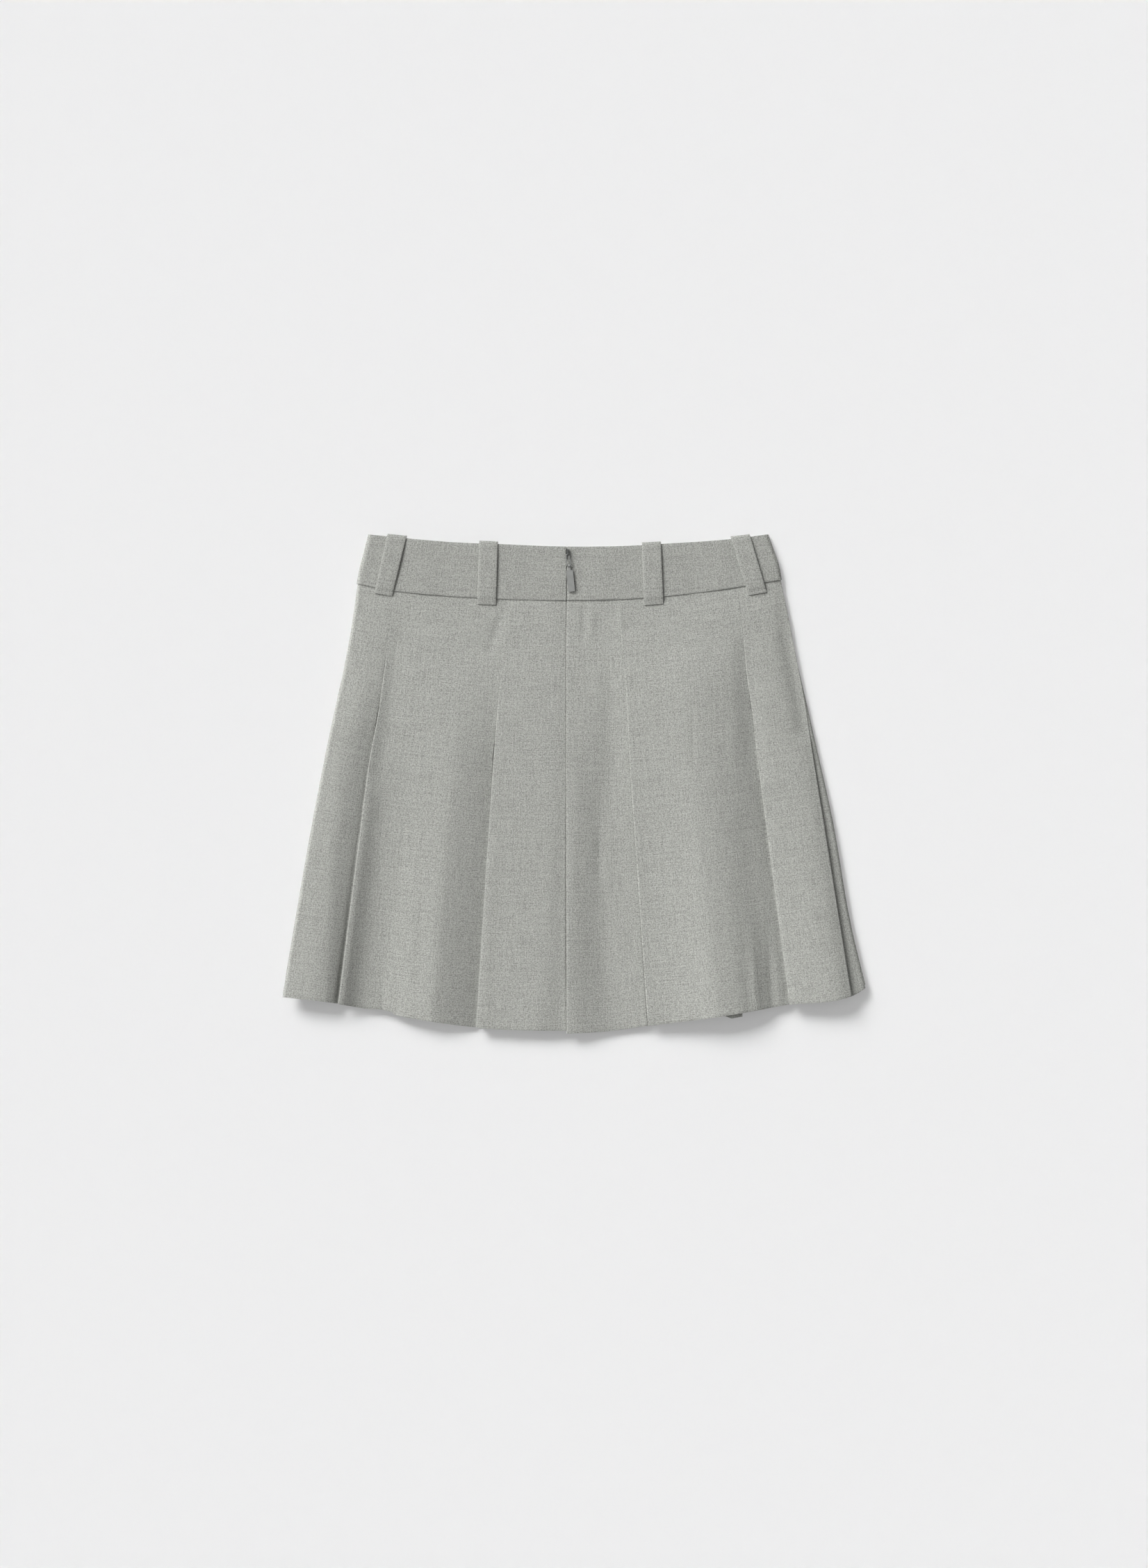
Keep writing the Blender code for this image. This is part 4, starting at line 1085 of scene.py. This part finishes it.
cloth = woven_material("Grey melange cloth", CLOTH_DARK, CLOTH_LIGHT, 1.0, 1.0, 1600.0, 0.06, 0.6)
tape_finish = woven_material("Grey zip tape", (0.10, 0.105, 0.10), (0.22, 0.225, 0.21),
                             0.5, 0.2, 2600.0, 0.0, 0.5)
band_cloth = woven_material("Grey melange band", [BAND_SHADE * value for value in CLOTH_DARK],
                            [BAND_SHADE * value for value in CLOTH_LIGHT], 1.0, 1.0, 1600.0, 0.06, 0.6)
for item in (back_left, back_right, front):
    item.data.materials.append(cloth)
for item in (band_left, band_right, band_front, *loops):
    item.data.materials.append(band_cloth)
for item in tapes:
    item.data.materials.append(tape_finish)

# %% [markdown]
# ## Metal and paint
#
# The slider and its link are small castings with a satin plating. The tab is sprayed in a grey
# close to the cloth's. Handling dulls both unevenly, so their roughness and colour drift a little,
# and the paint has the faint ripple of a thick spray. One group serves both.

# %% A node group for worn hardware
PATCH_SCALE = 320


def wear_group():
    """Colour, roughness and height that drift in soft patches, on object coordinates."""
    tree = new_group("Hardware wear", ("Colour", "Worn colour"),
                     (("Roughness", 0.4), ("Drift", 0.1), ("Ripple", 1500.0)))
    given = tree.nodes.new("NodeGroupInput").outputs
    place = tree.nodes.new("ShaderNodeTexCoord")
    patches = tree.nodes.new("ShaderNodeTexNoise")
    patches.inputs["Scale"].default_value = PATCH_SCALE
    patches.inputs["Detail"].default_value = 4
    link(tree, place.outputs["Object"], patches.inputs["Vector"])
    ripple = tree.nodes.new("ShaderNodeTexNoise")
    ripple.inputs["Detail"].default_value = 2
    link(tree, given["Ripple"], ripple.inputs["Scale"])
    link(tree, place.outputs["Object"], ripple.inputs["Vector"])
    centred = math_node(tree, "SUBTRACT", patches.outputs[0], 0.5)
    worn = math_node(tree, "ADD", math_node(tree, "MULTIPLY", centred, 2.5), 0.35)
    colour = mix_colours(tree, worn, given["Colour"], given["Worn colour"])
    drift = math_node(tree, "MULTIPLY", centred, given["Drift"])
    rough = math_node(tree, "ADD", drift, given["Roughness"])
    return give(tree, colour, rough, ripple.outputs[0])


WEAR = wear_group()
RIPPLE_HEIGHT = 0.0001


def hardware_material(name, colour, worn, roughness, metallic, coat, ripple, bump):
    """Metal or paint from the wear group."""
    return group_material(
        name, WEAR, {"Metallic": metallic, "Coat Weight": coat, "Coat Roughness": 0.35},
        {"Colour": colour, "Worn colour": worn},
        {"Roughness": roughness, "Drift": 0.6, "Ripple": ripple}, bump, RIPPLE_HEIGHT)[0]


metal = hardware_material("Satin plated slider", (0.16, 0.165, 0.16), (0.26, 0.265, 0.255),
                          0.38, 0.85, 0.0, 2200.0, 0.25)
paint = hardware_material("Grey sprayed tab", (0.255, 0.26, 0.25), (0.285, 0.29, 0.28),
                          0.42, 0.0, 0.15, 1100.0, 0.3)
for item in teeth:
    item.data.materials.append(metal)
for node, finish in (("zip_slider", metal), ("pull_link", metal), ("pull_tab", paint)):
    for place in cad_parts[node].material_slots:
        place.material = finish
print("finishes:", len(bpy.data.materials), "materials")

# %% [markdown]
# ## Table
#
# A plain pale table, as wide as the camera and the lamps need, a hair below the skirt.

# %% Table
TABLE_HALF = 2.0
TABLE_DOWN = 0.0003
TABLE_COLOUR = (0.82, 0.82, 0.82, 1)
corners = [(i * TABLE_HALF, j * TABLE_HALF, -TABLE_DOWN) for i, j in ((-1, -1), (1, -1), (1, 1), (-1, 1))]
mesh = bpy.data.meshes.new("Table")
mesh.from_pydata(corners, [], [(0, 1, 2, 3)])
floor = add_object("Table", mesh)
pale = bpy.data.materials.new("Pale table")
pale.use_nodes = True
shader = pale.node_tree.nodes["Principled BSDF"]
shader.inputs["Base Color"].default_value = TABLE_COLOUR
shader.inputs["Roughness"].default_value = 0.95
shader.inputs["Specular IOR Level"].default_value = 0.0
mesh.materials.append(pale)
print("table:", 2 * TABLE_HALF, "m wide")

# %% [markdown]
# ## Light
#
# The shadow below the hem shows one broad lamp, high at the upper left. The slopes of the pleats
# ask for a second, very soft one at the left, but its shadow doesn't show on the table. So that
# lamp comes twice: one lights all but the table, and one the table alone, which nothing else
# shades. The rest is even light from all round.

# %% Lamps
TOTAL = 1.042
KEY_SHARE, SIDE_SHARE = 0.48, 0.215
SIDE = (84.0, 24.0, 50.0, SIDE_SHARE)


def lamp(name, left_of_top, elevation, wide, share):
    """A far lamp that gives the table its share of the light, from the left of the picture's top."""
    turn, rise = math.radians(left_of_top), math.radians(elevation)
    data = bpy.data.lights.new(name, "SUN")
    data.energy = TOTAL * share * math.pi / math.sin(rise)
    data.angle = math.radians(wide)
    item = add_object(name, data)
    item.rotation_euler = (rise - math.pi / 2, 0, turn)
    return item


def table_group(name, state):
    """A collection for light linking that lets the table in or keeps it out."""
    group = bpy.data.collections.new(name)
    group.objects.link(floor)
    group.collection_objects[0].light_linking.link_state = state
    return group


lamp("Key lamp", 39.0, 32.0, 26.0, KEY_SHARE)
side_lamp = lamp("Side lamp", *SIDE)
side_lamp.light_linking.receiver_collection = table_group("All but the table", "EXCLUDE")
table_lamp = lamp("Table lamp", *SIDE)
table_alone = table_group("Table alone", "INCLUDE")
table_lamp.light_linking.receiver_collection = table_alone
table_lamp.light_linking.blocker_collection = table_alone
world = bpy.data.worlds.new("Even light")
world.use_nodes = True
background = world.node_tree.nodes["Background"]
background.inputs["Color"].default_value = (1, 1, 1, 1)
background.inputs["Strength"].default_value = TOTAL * (1 - KEY_SHARE - SIDE_SHARE)
bpy.context.scene.world = world
bpy.context.scene.view_settings.view_transform = "Standard"
print("light: key, side and even shares", KEY_SHARE, SIDE_SHARE, round(1 - KEY_SHARE - SIDE_SHARE, 3))

# %% [markdown]
# ## What each cloth piece was cut to
#
# The flat sizes are those along the cloth itself, hidden layers included.

for item in (back_left, back_right, front, band_left, band_right, band_front, *loops, *tapes):
    print(item.name, "sheet, m2:", round(sum(face.area for face in item.data.polygons), 5))
